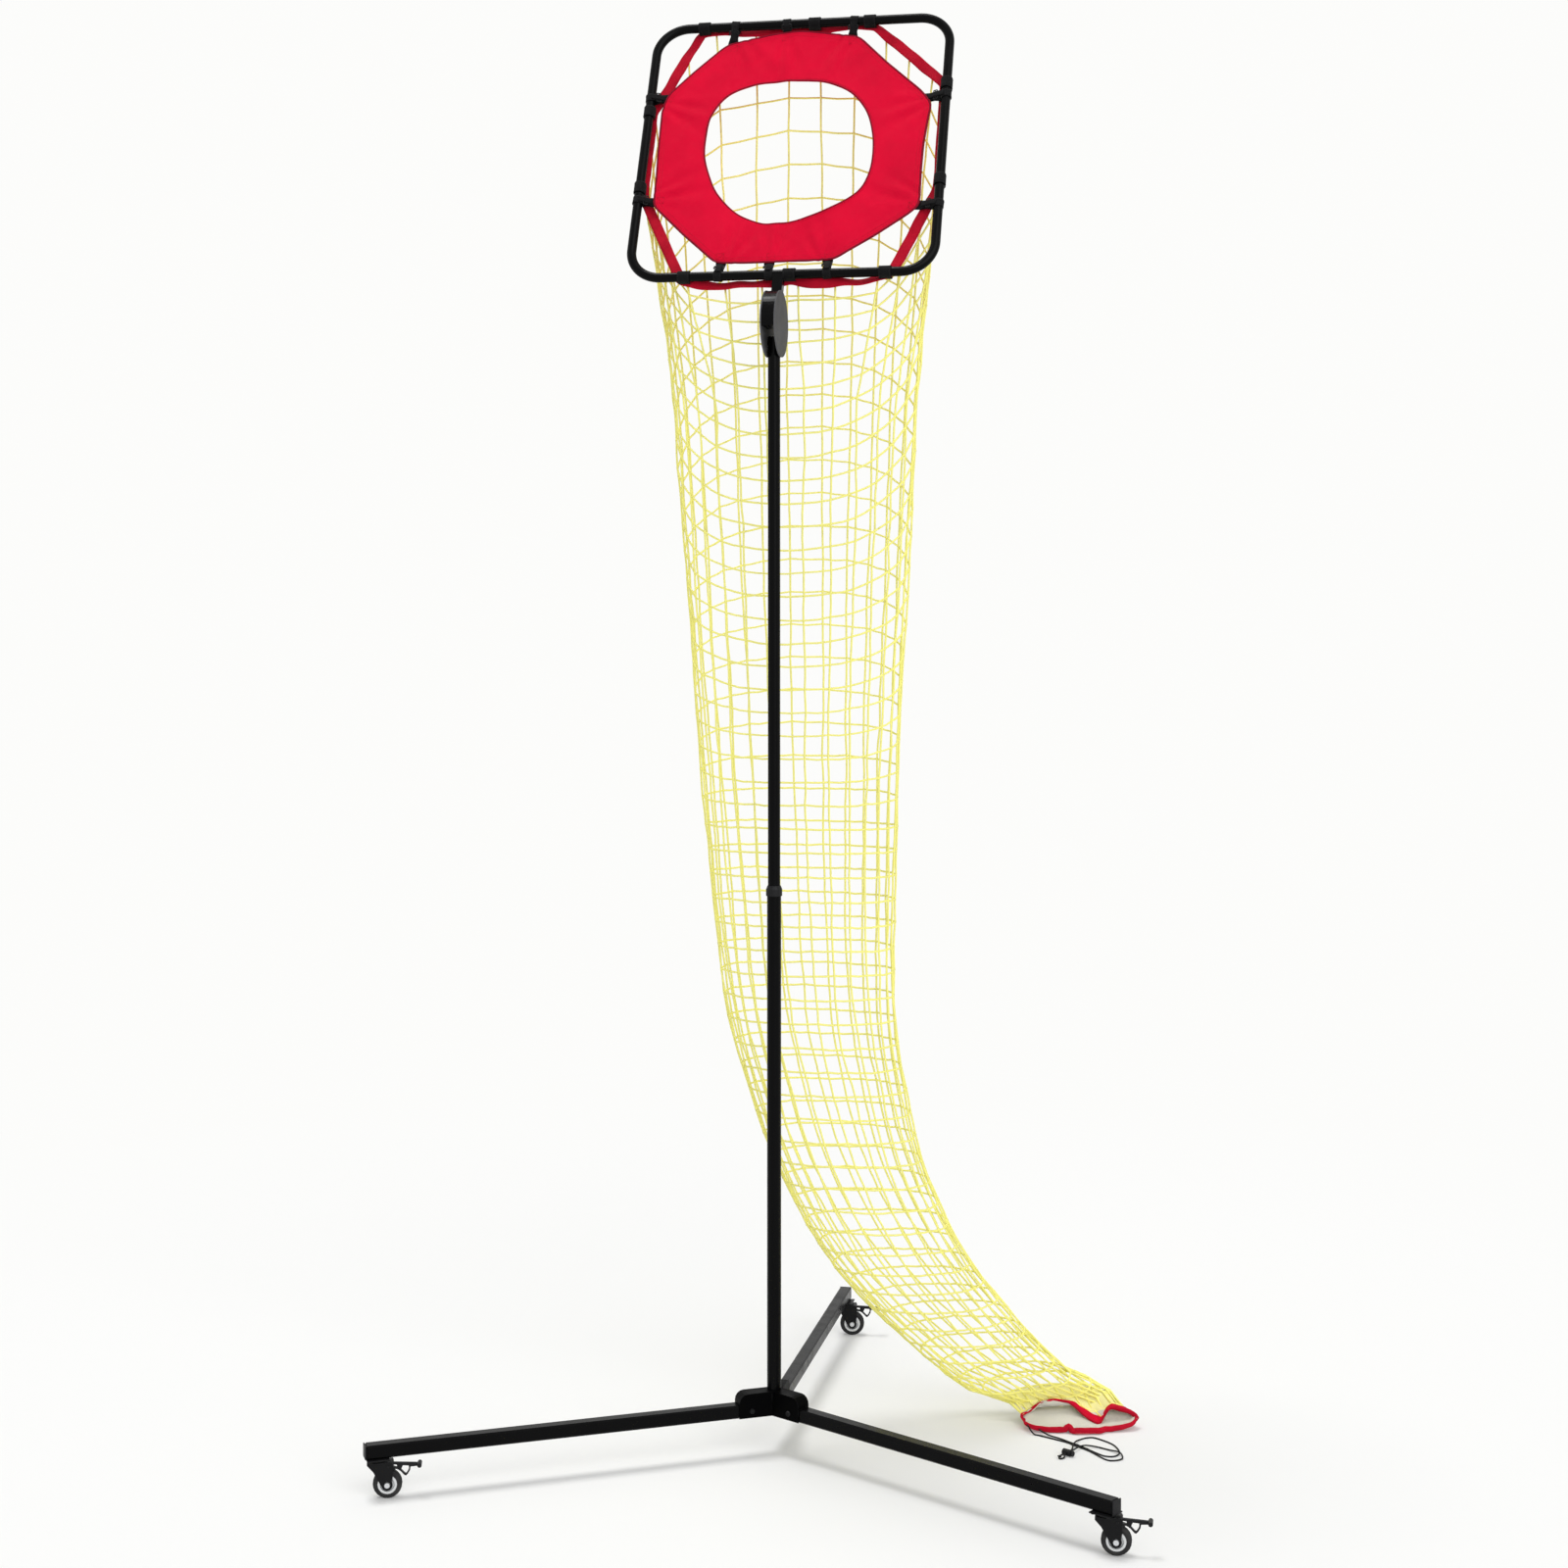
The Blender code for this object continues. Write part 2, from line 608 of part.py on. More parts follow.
    for name, angle in LEG_ANGLES.items():
        here = around(angle, SWIVEL_RADIUS)
        spot = Matrix.Translation(here.translation)
        swivel = spot @ Matrix.Rotation(math.radians(SWIVEL_REST[name]), 4, "Z")
        on_axle = swivel @ Matrix.Translation((CASTER_TRAIL, 0.0, AXLE_Z))
        on_pin = swivel @ Matrix.Translation((px, 0.0, pz))
        part("caster_plate_" + name, plate, BLACK_STEEL, around(angle, SWIVEL_RADIUS))
        part("caster_fork_" + name, fork, BLACK_STEEL, swivel @ Matrix.Translation((0.0, 0.0, FORK_TOP)))
        part("caster_tyre_" + name, tyre, RUBBER, on_axle)
        part("caster_wheel_" + name, core, WHEEL_SILVER, on_axle)
        part("caster_axle_" + name, axle, ZINC, on_axle)
        part("brake_pedal_" + name, pedal, BLACK_PLASTIC, on_pin)


def build_mast():
    base_z = LEG_LOW + HUB_FLOOR + CLEAR
    out = OUTER_DIA / 2
    bore = out - WALL
    lower = lathe([(out, JOINT_Z), (out, base_z), (bore, base_z), (bore, JOINT_Z)], "Z", 24)
    holes = []
    for i in range(HOLE_COUNT):
        z = BUTTON_Z - i * HOLE_STEP
        holes.append(rod(HOLE_DIA / 2, out, (0.0, out, z), "Y", 8))
    part("mast_lower", take(cut(lower, *holes)), BLACK_PAINT, Matrix.Translation(AXIS))

    wide = out + 0.0025
    slim = INNER_DIA / 2 + 0.0012
    grip = INNER_DIA / 2 + CLEAR
    collar = [(wide, JOINT_Z + 0.003), (wide, JOINT_Z - 0.012), (out + CLEAR, JOINT_Z - 0.012),
              (out + CLEAR, JOINT_Z + CLEAR), (grip, JOINT_Z + CLEAR), (grip, JOINT_Z + 0.011),
              (slim, JOINT_Z + 0.011)]
    part("mast_collar", take(lathe(collar, "Z", 20)), BLACK_PLASTIC, Matrix.Translation(AXIS))

    rim = INNER_DIA / 2
    inside = rim - WALL
    upper = lathe([(rim, MAST_TOP), (rim, INSERT_END), (inside, INSERT_END), (inside, MAST_TOP)], "Z", 24)
    holes = [rod(HOLE_DIA / 2, rim, (0.0, rim, BUTTON_Z), "Y", 10)]
    for drop in CHEEK_BOLTS:
        holes.append(rod(HOLE_DIA / 2, 4 * rim, (0.0, 0.0, PIVOT_Z - drop), "X", 10))
    part("mast_upper", take(cut(upper, *holes)), BLACK_PAINT, Matrix.Translation(AXIS))

    leaf_out = inside - 0.0012
    leaf = box((0.008, 0.001, 0.050), (0.0, leaf_out - 0.0005, -0.018))
    knob_long = out + 0.0025 - leaf_out + 0.0005
    knob = rod(BUTTON_DIA / 2, knob_long, (0.0, leaf_out - 0.0005 + knob_long / 2, 0.0), "Y", 10)
    button = union(knob, leaf)
    part("snap_button", take(button), ZINC, Matrix.Translation(AXIS + Vector((0.0, 0.0, BUTTON_Z))))


def build_bracket():
    slot_half = HOLE_DIA / 2
    outer = arc((0.0, 0.0), SLOT_RADIUS + slot_half, SLOT_FROM, SLOT_TO, 8)
    inner = arc((0.0, 0.0), SLOT_RADIUS - slot_half, SLOT_TO, SLOT_FROM, 8)
    first = math.radians(SLOT_FROM)
    last = math.radians(SLOT_TO)
    low_end = (SLOT_RADIUS * math.cos(first), SLOT_RADIUS * math.sin(first))
    high_end = (SLOT_RADIUS * math.cos(last), SLOT_RADIUS * math.sin(last))
    cap_high = arc(high_end, slot_half, SLOT_TO, SLOT_TO + 180.0, 4)[1:-1]
    cap_low = arc(low_end, slot_half, SLOT_FROM + 180.0, SLOT_FROM + 360.0, 4)[1:-1]
    slot = outer + cap_high + inner + cap_low
    holes = [circle((0.0, 0.0), slot_half, 12)]
    for drop in CHEEK_BOLTS:
        holes.append(circle((-drop, 0.0), slot_half, 12))
    disc = outline_solid([circle((0.0, 0.0), CHEEK_DIA / 2, 40), slot] + holes, CHEEK_THICK)
    # The outline's X is up and its Y is back
    stand = Matrix(((0, 0, -1, 0), (0, 1, 0, 0), (1, 0, 0, 0), (0, 0, 0, 1)))
    slotted = take(moved(disc, stand))
    left = PIVOT - Vector((CHEEK_AT, 0.0, 0.0))
    part("tilt_cheek_left", slotted, GREY_PAINT, Matrix.Translation(left))
    # The other cheek is plain outside: the bolts end in pockets in its inner face
    plain = moved(outline_solid([circle((0.0, 0.0), CHEEK_DIA / 2, 40)], CHEEK_THICK), stand)
    pocket_at = (STUD_SUNK - CHEEK_THICK - 0.001) / 2
    pockets = []
    for drop in (0.0, *CHEEK_BOLTS):
        pockets.append(rod(slot_half, STUD_SUNK + 0.001, (pocket_at, 0.0, -drop), "X", 12))
    right = PIVOT + Vector((CHEEK_AT, 0.0, 0.0))
    part("tilt_cheek_right", take(cut(plain, *pockets)), GREY_PAINT, Matrix.Translation(right))
    sunk = CHEEK_AT - CHEEK_THICK / 2 + STUD_SUNK - CLEAR
    bolt = stud_mesh(CHEEK_AT + CHEEK_THICK / 2, sunk)
    for name, drop in zip(("upper", "lower"), CHEEK_BOLTS):
        spot = PIVOT - Vector((0.0, 0.0, drop))
        part("cheek_bolt_" + name, bolt, BLACK_STEEL, Matrix.Translation(spot))
    part("pivot_bolt", bolt, BLACK_STEEL, Matrix.Translation(PIVOT))
    lean = math.radians(HEAD_LEAN)
    clamp = PIVOT + SLOT_RADIUS * Vector((0.0, math.sin(lean), math.cos(lean)))
    bolt = stud_mesh(CHEEK_AT + CHEEK_THICK / 2, INNER_DIA / 2 - 0.001)
    part("clamp_bolt", bolt, BLACK_STEEL, Matrix.Translation(clamp))

    # The knuckle is a disc between the cheeks, flat below at rest and again behind, where it swings down
    radius = CHEEK_DIA / 2 - KNUCKLE_MARGIN
    spread = math.degrees(math.acos(KNUCKLE_DOWN / radius))
    rim = arc((0.0, 0.0), radius, 180.0 - KNUCKLE_SWING - spread, spread - 180.0, 22)
    corner = (-KNUCKLE_DOWN, KNUCKLE_DOWN * math.tan(math.radians(KNUCKLE_SWING / 2)))
    block = moved(outline_solid([rim + [corner]], INNER_DIA), HEAD_TURN.inverted() @ stand)
    stem_low = radius - 0.012
    stem_at = (0.0, (stem_low + FRAME_LOW) / 2, 0.0)
    stem = box((STEM_WIDE, FRAME_LOW - stem_low, STEM_DEEP), stem_at)
    saddle = rod(FRAME_TUBE / 2 + CLEAR, 0.08, (0.0, FRAME_LOW, 0.0), "X", 20)
    bores = [rod(slot_half, 0.08, (0.0, v, 0.0), "X", 12) for v in (0.0, SLOT_RADIUS)]
    knuckle = cut(union(block, stem), saddle, *bores)
    part("tilt_knuckle", take(knuckle), BLACK_PAINT, HEAD)


def rounded_square():
    half = FRAME_HALF_WIDE - FRAME_CORNER
    low = FRAME_LOW + FRAME_CORNER
    high = FRAME_HIGH - FRAME_CORNER
    line = arc((half, high), FRAME_CORNER, 0.0, 90.0, 6)
    line += arc((-half, high), FRAME_CORNER, 90.0, 180.0, 6)
    line += arc((-half, low), FRAME_CORNER, 180.0, 270.0, 6)
    line += arc((half, low), FRAME_CORNER, 270.0, 360.0, 6)
    return [(x, y, 0.0) for x, y in line]


def octagon(top, right, low, left, half, high, bottom, margin):
    """An octagon whose corners lie just past the outer straps of each side, clockwise from the top left."""
    return [
        (min(top) - margin, high), (max(top) + margin, high),
        (half, max(right) + margin), (half, min(right) - margin),
        (max(low) + margin, bottom), (min(low) - margin, bottom),
        (-half, min(left) - margin), (-half, max(left) + margin),
    ]


def offset_outline(points, distance):
    """The outline moved sideways by a distance, with its corners kept."""
    count = len(points)
    made = []
    for i in range(count):
        a = Vector(points[i - 1])
        b = Vector(points[i])
        c = Vector(points[(i + 1) % count])
        one = (b - a).normalized()
        two = (c - b).normalized()
        n1 = Vector((-one.y, one.x))
        n2 = Vector((-two.y, two.x))
        made.append(tuple(b + (n1 + n2) * distance / (1.0 + n1.dot(n2))))
    return made


def strap_mesh():
    """A webbing loop from the panel's front, round a bar at the origin, to its back; the panel lies at -Y."""
    centre = FRAME_TUBE / 2 + CLEAR + WEBBING_THICK / 2
    face = PANEL_THICK / 2 + CLEAR + WEBBING_THICK / 2
    reach = STRAP_REACH
    far = math.hypot(reach, face)
    tangent = math.degrees(math.atan2(face, -reach) - math.acos(centre / far))
    bow = arc((0.0, 0.0), centre, tangent, -tangent, 10)
    line = [(-reach - 0.026, face), (-reach, face)] + bow + [(-reach, -face), (-reach - 0.026, -face)]
    mesh = bpy.data.meshes.new("strap")
    half = WEBBING / 2
    verts = []
    for y, z in line:
        verts.append((-half, y, z))
        verts.append((half, y, z))
    faces = [(2 * i, 2 * i + 1, 2 * i + 3, 2 * i + 2) for i in range(len(line) - 1)]
    mesh.from_pydata(verts, [], faces)
    obj = helper("strap", mesh)
    skin = obj.modifiers.new("thick", "SOLIDIFY")
    skin.thickness = WEBBING_THICK
    skin.offset = 0.0
    skin.use_even_offset = True
    return take(baked(obj))


def strap_places(top, right, low, left):
    places = [(u, FRAME_HIGH, 0.0) for u in top]
    places += [(FRAME_HALF_WIDE, v, -90.0) for v in right]
    places += [(u, FRAME_LOW, 180.0) for u in low]
    places += [(-FRAME_HALF_WIDE, v, 90.0) for v in left]
    return places


def build_head():
    frame = take(pipe(rounded_square(), FRAME_TUBE / 2, 4, True))
    part("head_frame", frame, BLACK_PAINT, HEAD)
    outline = octagon(PANEL_TOP, PANEL_RIGHT, PANEL_LOW, PANEL_LEFT, PANEL_HALF, PANEL_HIGH, PANEL_BOTTOM,
                      STRAP_MARGIN)
    panel = outline_solid([outline, circle(HOLE_AT, BALL_HOLE / 2, 48)], PANEL_THICK)
    part("target_panel", take(panel), RED_FABRIC, HEAD)
    strap = strap_mesh()
    places = strap_places(PANEL_TOP, PANEL_RIGHT, PANEL_LOW, PANEL_LEFT)
    for number, (u, v, turn) in enumerate(places, 1):
        spot = Matrix.Translation((u, v, 0.0)) @ Matrix.Rotation(math.radians(turn), 4, "Z")
        part("panel_strap_%02d" % number, strap, BLACK_WEBBING, HEAD @ spot)


def band_line():
    return octagon(NET_TOP, NET_RIGHT, NET_LOW, NET_LEFT, BAND_HALF, BAND_HIGH, BAND_BOTTOM, 0.010)


def build_band():
    line = band_line()
    outer = offset_outline(line, BAND_WIDE / 2)
    inner = offset_outline(line, -BAND_WIDE / 2)
    band = moved(outline_solid([outer, inner], BAND_THICK), Matrix.Translation((0.0, 0.0, BAND_MID)))
    inside = (FRAME_TUBE / 2 + CLEAR) / math.cos(math.pi / LOOP_SIDES)
    outside = inside + WEBBING_THICK + 0.0003
    half = WEBBING / 2
    loops = []
    for u, v, turn in strap_places(NET_TOP, NET_RIGHT, NET_LOW, NET_LEFT):
        loop = lathe([(outside, half), (outside, -half), (inside, -half), (inside, half)], "X", LOOP_SIDES)
        spot = Matrix.Translation((u, v, 0.0)) @ Matrix.Rotation(math.radians(turn), 4, "Z")
        loops.append(moved(loop, spot))
    part("net_band", take(union(band, *loops)), RED_FABRIC, HEAD)


def chute_end():
    """The last ring of strands, tucked inside the cuff's back edge."""
    centre, wide, deep = (Vector(v) for v in CUFF_BACK)
    return centre, wide * (1.0 - CUFF_TUCK / wide.length), deep * (1.0 - CUFF_TUCK / deep.length)


def chute_station(t):
    """Centre and half-axes of the chute at a run of 0 to 1 between its level rings."""
    first_high = PIVOT_Z - NET_DROP
    rings = [((x, y, share * first_high), wide, deep) for (x, y, share), wide, deep in CHUTE] + [chute_end()]
    keys = len(CHUTE)
    place = min(t * keys, keys - 1e-6)
    k = int(place)
    f = place - k
    made = []
    for n in range(3):
        a = Vector(rings[max(k - 1, 0)][n])
        b = Vector(rings[k][n])
        c = Vector(rings[k + 1][n])
        d = Vector(rings[min(k + 2, keys)][n])
        bend = (2 * a - 5 * b + 4 * c - d) * f * f + (3 * b - a - 3 * c + d) * f ** 3
        made.append(0.5 * (2 * b + (c - a) * f + bend))
    return made


def ring_point(station, angle, square=0.86):
    """A point of a slightly squared oval."""
    centre, wide, deep = (Vector(s) for s in station)
    c = math.cos(angle)
    s = math.sin(angle)
    across = math.copysign(abs(c) ** square, c)
    along = math.copysign(abs(s) ** square, s)
    return AXIS + centre + wide * across + deep * along


def band_point(angle):
    """Where a ray from the band's middle meets the band's line, just behind the band."""
    line = band_line()
    middle = Vector((0.0, FRAME_MIDDLE))
    ray = Vector((math.cos(angle), math.sin(angle)))
    best = None
    for a, b in zip(line, line[1:] + line[:1]):
        a = Vector(a) - middle
        edge = Vector(b) - middle - a
        cross = ray.x * edge.y - ray.y * edge.x
        if abs(cross) < 1e-9:
            continue
        along = (a.x * edge.y - a.y * edge.x) / cross
        share = (a.x * ray.y - a.y * ray.x) / cross
        if along > 0 and -1e-9 <= share <= 1 + 1e-9:
            best = middle + ray * along
    behind = BAND_MID - BAND_THICK / 2 - CLEAR - NET_STRAND / 2
    return HEAD @ Vector((best.x, best.y, behind))


def build_net():
    rows = []
    turns = [2 * math.pi * (i + 0.5) / NET_COLUMNS for i in range(NET_COLUMNS)]
    top = [band_point(a) for a in turns]
    first = [ring_point(chute_station(0.0), a) for a in turns]
    for k in range(NET_FALL_ROWS):
        f = k / NET_FALL_ROWS
        rows.append([p.lerp(q, f) for p, q in zip(top, first)])
    for k in range(NET_ROWS):
        station = chute_station(k / (NET_ROWS - 1))
        rows.append([ring_point(station, a) for a in turns])
    verts = [p for row in rows for p in row]
    n = NET_COLUMNS
    faces = []
    for k in range(len(rows) - 1):
        for i in range(n):
            j = (i + 1) % n
            faces.append((k * n + j, k * n + i, (k + 1) * n + i, (k + 1) * n + j))
    mesh = bpy.data.meshes.new("net")
    mesh.from_pydata(verts, [], faces)
    obj = helper("net", mesh)
    wire = obj.modifiers.new("strands", "WIREFRAME")
    wire.thickness = NET_STRAND
    wire.use_even_offset = False
    wire.use_replace = True
    wire.use_boundary = True
    wire.offset = 0.0
    part("net_chute", take(baked(obj)), YELLOW_CORD, None, 0.0)


def build_cuff():
    rows = []
    steps = 3
    for k in range(steps + 1):
        f = k / steps
        station = [Vector(a).lerp(Vector(b), f) for a, b in zip(CUFF_BACK, CUFF_MOUTH)]
        rows.append([ring_point(station, 2 * math.pi * i / CUFF_SIDES) for i in range(CUFF_SIDES)])
    verts = [p for row in rows for p in row]
    n = CUFF_SIDES
    faces = []
    for k in range(steps):
        for i in range(n):
            j = (i + 1) % n
            faces.append((k * n + j, k * n + i, (k + 1) * n + i, (k + 1) * n + j))
    mesh = bpy.data.meshes.new("cuff")
    mesh.from_pydata(verts, [], faces)
    obj = helper("cuff", mesh)
    skin = obj.modifiers.new("thick", "SOLIDIFY")
    skin.thickness = CUFF_THICK
    skin.offset = 0.0
    skin.use_even_offset = True
    part("chute_cuff", take(baked(obj)), RED_FABRIC)


def hem_exit(angle):
    """Where the cord leaves the cuff's front edge, and the way it points there."""
    turn = math.radians(angle)
    edge = ring_point(CUFF_MOUTH, turn)
    way = (edge - ring_point(CUFF_BACK, turn)).normalized()
    return edge + way * (0.58 * CORD_DIA + CLEAR), way


def build_cord():
    start, way_out = hem_exit(CORD_EXITS[0])
    end, way_back = hem_exit(CORD_EXITS[1])
    route = [start, start + way_out * 0.007]
    route += [AXIS + Vector(p) for p in CORD_ROUTE]
    route += [end + way_back * 0.007, end]
    path = smooth_path(route, CORD_POINTS)
    part("drawcord", take(pipe(path, CORD_DIA / 2, 2)), CORD_BLACK)

    lock = AXIS + Vector(LOCK_AT)
    half = LOCK_LONG / 2
    r = LOCK_DIA / 2
    profile = [(0.0, half), (r - 0.001, half), (r, half - 0.001), (r, -half + 0.001), (r - 0.001, -half),
               (0.0, -half)]
    barrel = lathe(profile, "X", 16)
    passage = box((0.0082, 0.04, 0.0042), (0.0, 0.0, 0.0))
    bore = rod(LOCK_BUTTON / 2, 2 * LOCK_BORE_DEEP, (half, 0.0, 0.0), "X", 14)
    barrel = cut(barrel, passage, bore)
    turn = Matrix.Rotation(math.radians(LOCK_TURN), 4, "Z")
    place = Matrix.Translation(lock) @ turn
    part("cord_lock_barrel", take(barrel), BLACK_PLASTIC, place)
    stem = rod(LOCK_BUTTON / 2 - CLEAR, 0.0085, (0.00125, 0.0, 0.0), "X", 14)
    crown = rod(LOCK_BUTTON / 2 + 0.0012, 0.0022, (0.0045, 0.0, 0.0), "X", 14)
    button = union(stem, crown)
    part("cord_lock_button", take(button), BLACK_PLASTIC, place @ Matrix.Translation((half, 0.0, 0.0)))


build_hub()
build_legs()
build_casters()
build_mast()
build_bracket()
build_head()
build_band()
build_net()
build_cuff()
build_cord()
for leftover in list(SHOP.objects):
    bpy.data.objects.remove(leftover, do_unlink=True)
bpy.data.collections.remove(SHOP)
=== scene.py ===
"""Looks of a volleyball setter target: cloth, webbing, net, cord, paint, light and camera, on its frame."""

import json
import math

import bmesh
import bpy
import numpy as np
from mathutils import Matrix, Vector


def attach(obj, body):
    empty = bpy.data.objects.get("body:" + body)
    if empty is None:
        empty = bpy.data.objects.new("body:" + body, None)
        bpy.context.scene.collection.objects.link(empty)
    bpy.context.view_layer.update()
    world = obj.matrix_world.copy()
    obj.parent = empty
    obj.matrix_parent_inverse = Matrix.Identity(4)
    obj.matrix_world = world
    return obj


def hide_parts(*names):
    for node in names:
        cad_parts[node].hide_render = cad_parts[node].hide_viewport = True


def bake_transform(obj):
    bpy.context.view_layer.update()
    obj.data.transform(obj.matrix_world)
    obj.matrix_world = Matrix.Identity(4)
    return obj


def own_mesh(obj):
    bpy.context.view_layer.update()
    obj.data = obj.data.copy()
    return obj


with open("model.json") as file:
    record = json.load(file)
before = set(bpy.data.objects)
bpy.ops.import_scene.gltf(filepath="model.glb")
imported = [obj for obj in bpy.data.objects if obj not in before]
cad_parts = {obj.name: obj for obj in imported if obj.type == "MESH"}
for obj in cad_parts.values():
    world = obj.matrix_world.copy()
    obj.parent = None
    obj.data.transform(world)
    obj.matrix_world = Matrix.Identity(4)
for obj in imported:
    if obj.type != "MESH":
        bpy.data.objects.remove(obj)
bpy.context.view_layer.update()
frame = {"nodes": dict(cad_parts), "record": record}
NODES = frame["nodes"]

CIRCLE = 2 * math.pi
UP = (0.0, 0.0, 1.0)
DOWN = (0.0, 0.0, -1.0)

# Frame of the object: the pole, the tilt pivot and the head's plane, whose front is +Z of HEAD
POLE = Vector((-0.030, -0.225, 0.0))
PIVOT = POLE + Vector((0.0, 0.0, 2.558))
HEAD = Matrix.Translation(PIVOT) @ Matrix.Rotation(math.radians(65.0), 4, "X")
BAR_HALF = 0.354
BAR_LOW = 0.130
BAR_HIGH = 0.830
BAR_CORNER = 0.075
TUBE = 0.011

# Places of the straps and the net's ties along the bars, and the middle of the hole, in the head's plane
PANEL_TOP = (-0.165, -0.040, 0.123)
PANEL_LOW = (-0.142, -0.0235, 0.111)
PANEL_LEFT = (0.628, 0.341)
PANEL_RIGHT = (0.606, 0.306)
NET_TOP = (-0.242, 0.027, 0.160)
NET_LOW = (-0.222, 0.0240, 0.244)
NET_LEFT = (0.590, 0.376)
NET_RIGHT = (0.638, 0.372)
HOLE_MIDDLE = (-0.009, 0.4655)


# Lines and rings of points

def run_of(points):
    """Distance run along a line at each of its points."""
    return np.concatenate([[0.0], np.cumsum(np.linalg.norm(np.diff(points, axis=0), axis=1))])


def along(line, run, wanted):
    """Points of a line at the wanted distances along it."""
    return np.stack([np.interp(wanted, run, line[:, i]) for i in range(3)], axis=-1)


def unit(ways):
    """The rows of an array, each made one long."""
    return ways / np.linalg.norm(ways, axis=1)[:, None]


def ahead_round(loop):
    """The way ahead at each point of a closed line."""
    return unit(np.roll(loop, -1, axis=0) - np.roll(loop, 1, axis=0))


def evened(loop, times):
    """A closed row of numbers or points, each moved toward its neighbours some times."""
    for _ in range(times):
        loop = 0.25 * np.roll(loop, 1, axis=0) + 0.5 * loop + 0.25 * np.roll(loop, -1, axis=0)
    return loop


def eased(share):
    """A share from 0 to 1 with a soft start and end."""
    return share * share * (3.0 - 2.0 * share)


def cubic(a, b, c, d, t):
    """A point between b and c on the curve through four points."""
    bend = (2 * a - 5 * b + 4 * c - d) * t * t + (3 * b - a - 3 * c + d) * t ** 3
    return 0.5 * (2 * b + (c - a) * t + bend)


def smooth_path(points, count):
    """Points at equal steps along a cubic curve through the given ones."""
    route = [np.array(p, float) for p in points]
    chain = [2 * route[0] - route[1]] + route + [2 * route[-1] - route[-2]]
    fine = [cubic(*four, i / 24) for four in zip(chain, chain[1:], chain[2:], chain[3:]) for i in range(24)]
    fine = np.array(fine + [route[-1]])
    run = run_of(fine)
    return along(fine, run, np.linspace(0.0, run[-1], count))


def rounded_loop(half, low, high, radius, steps):
    """Points round a box, from the middles of its corner arcs: plus and minus half, low and high."""
    loop = []
    for x, y, first in ((half, high, 0), (-half, high, 90), (-half, low, 180), (half, low, 270)):
        for step in range(steps + 1):
            turn = math.radians(first + 90.0 * step / steps)
            loop.append((x + radius * math.cos(turn), y + radius * math.sin(turn)))
    return loop


def oval_tube(line, side, wide, up, tall, sides):
    """Rings of an oval tube round each point of a closed line, spread along two directions."""
    ring = []
    for i in range(sides):
        a = CIRCLE * i / sides
        ring.append(line + side * wide * math.cos(a) + up * tall * math.sin(a))
    return np.array(ring).transpose(1, 0, 2)


def ripple(x, y, seed):
    """Smooth seeded unevenness between about -1 and 1."""
    rng = np.random.default_rng(seed)
    total = 0.0
    for f in (1.0, 2.0, 4.0):
        a, b, c, d, e, g = rng.uniform(0.6, 1.4, 6)
        p, q = rng.uniform(0, 6.28, 2)
        first = np.sin(f * (a * x + b * y) + p)
        second = np.sin(f * (c * x - d * y) + q + e * g)
        total = total + (first + second) / (2.2 * f)
    return total / 1.6


# Shapes

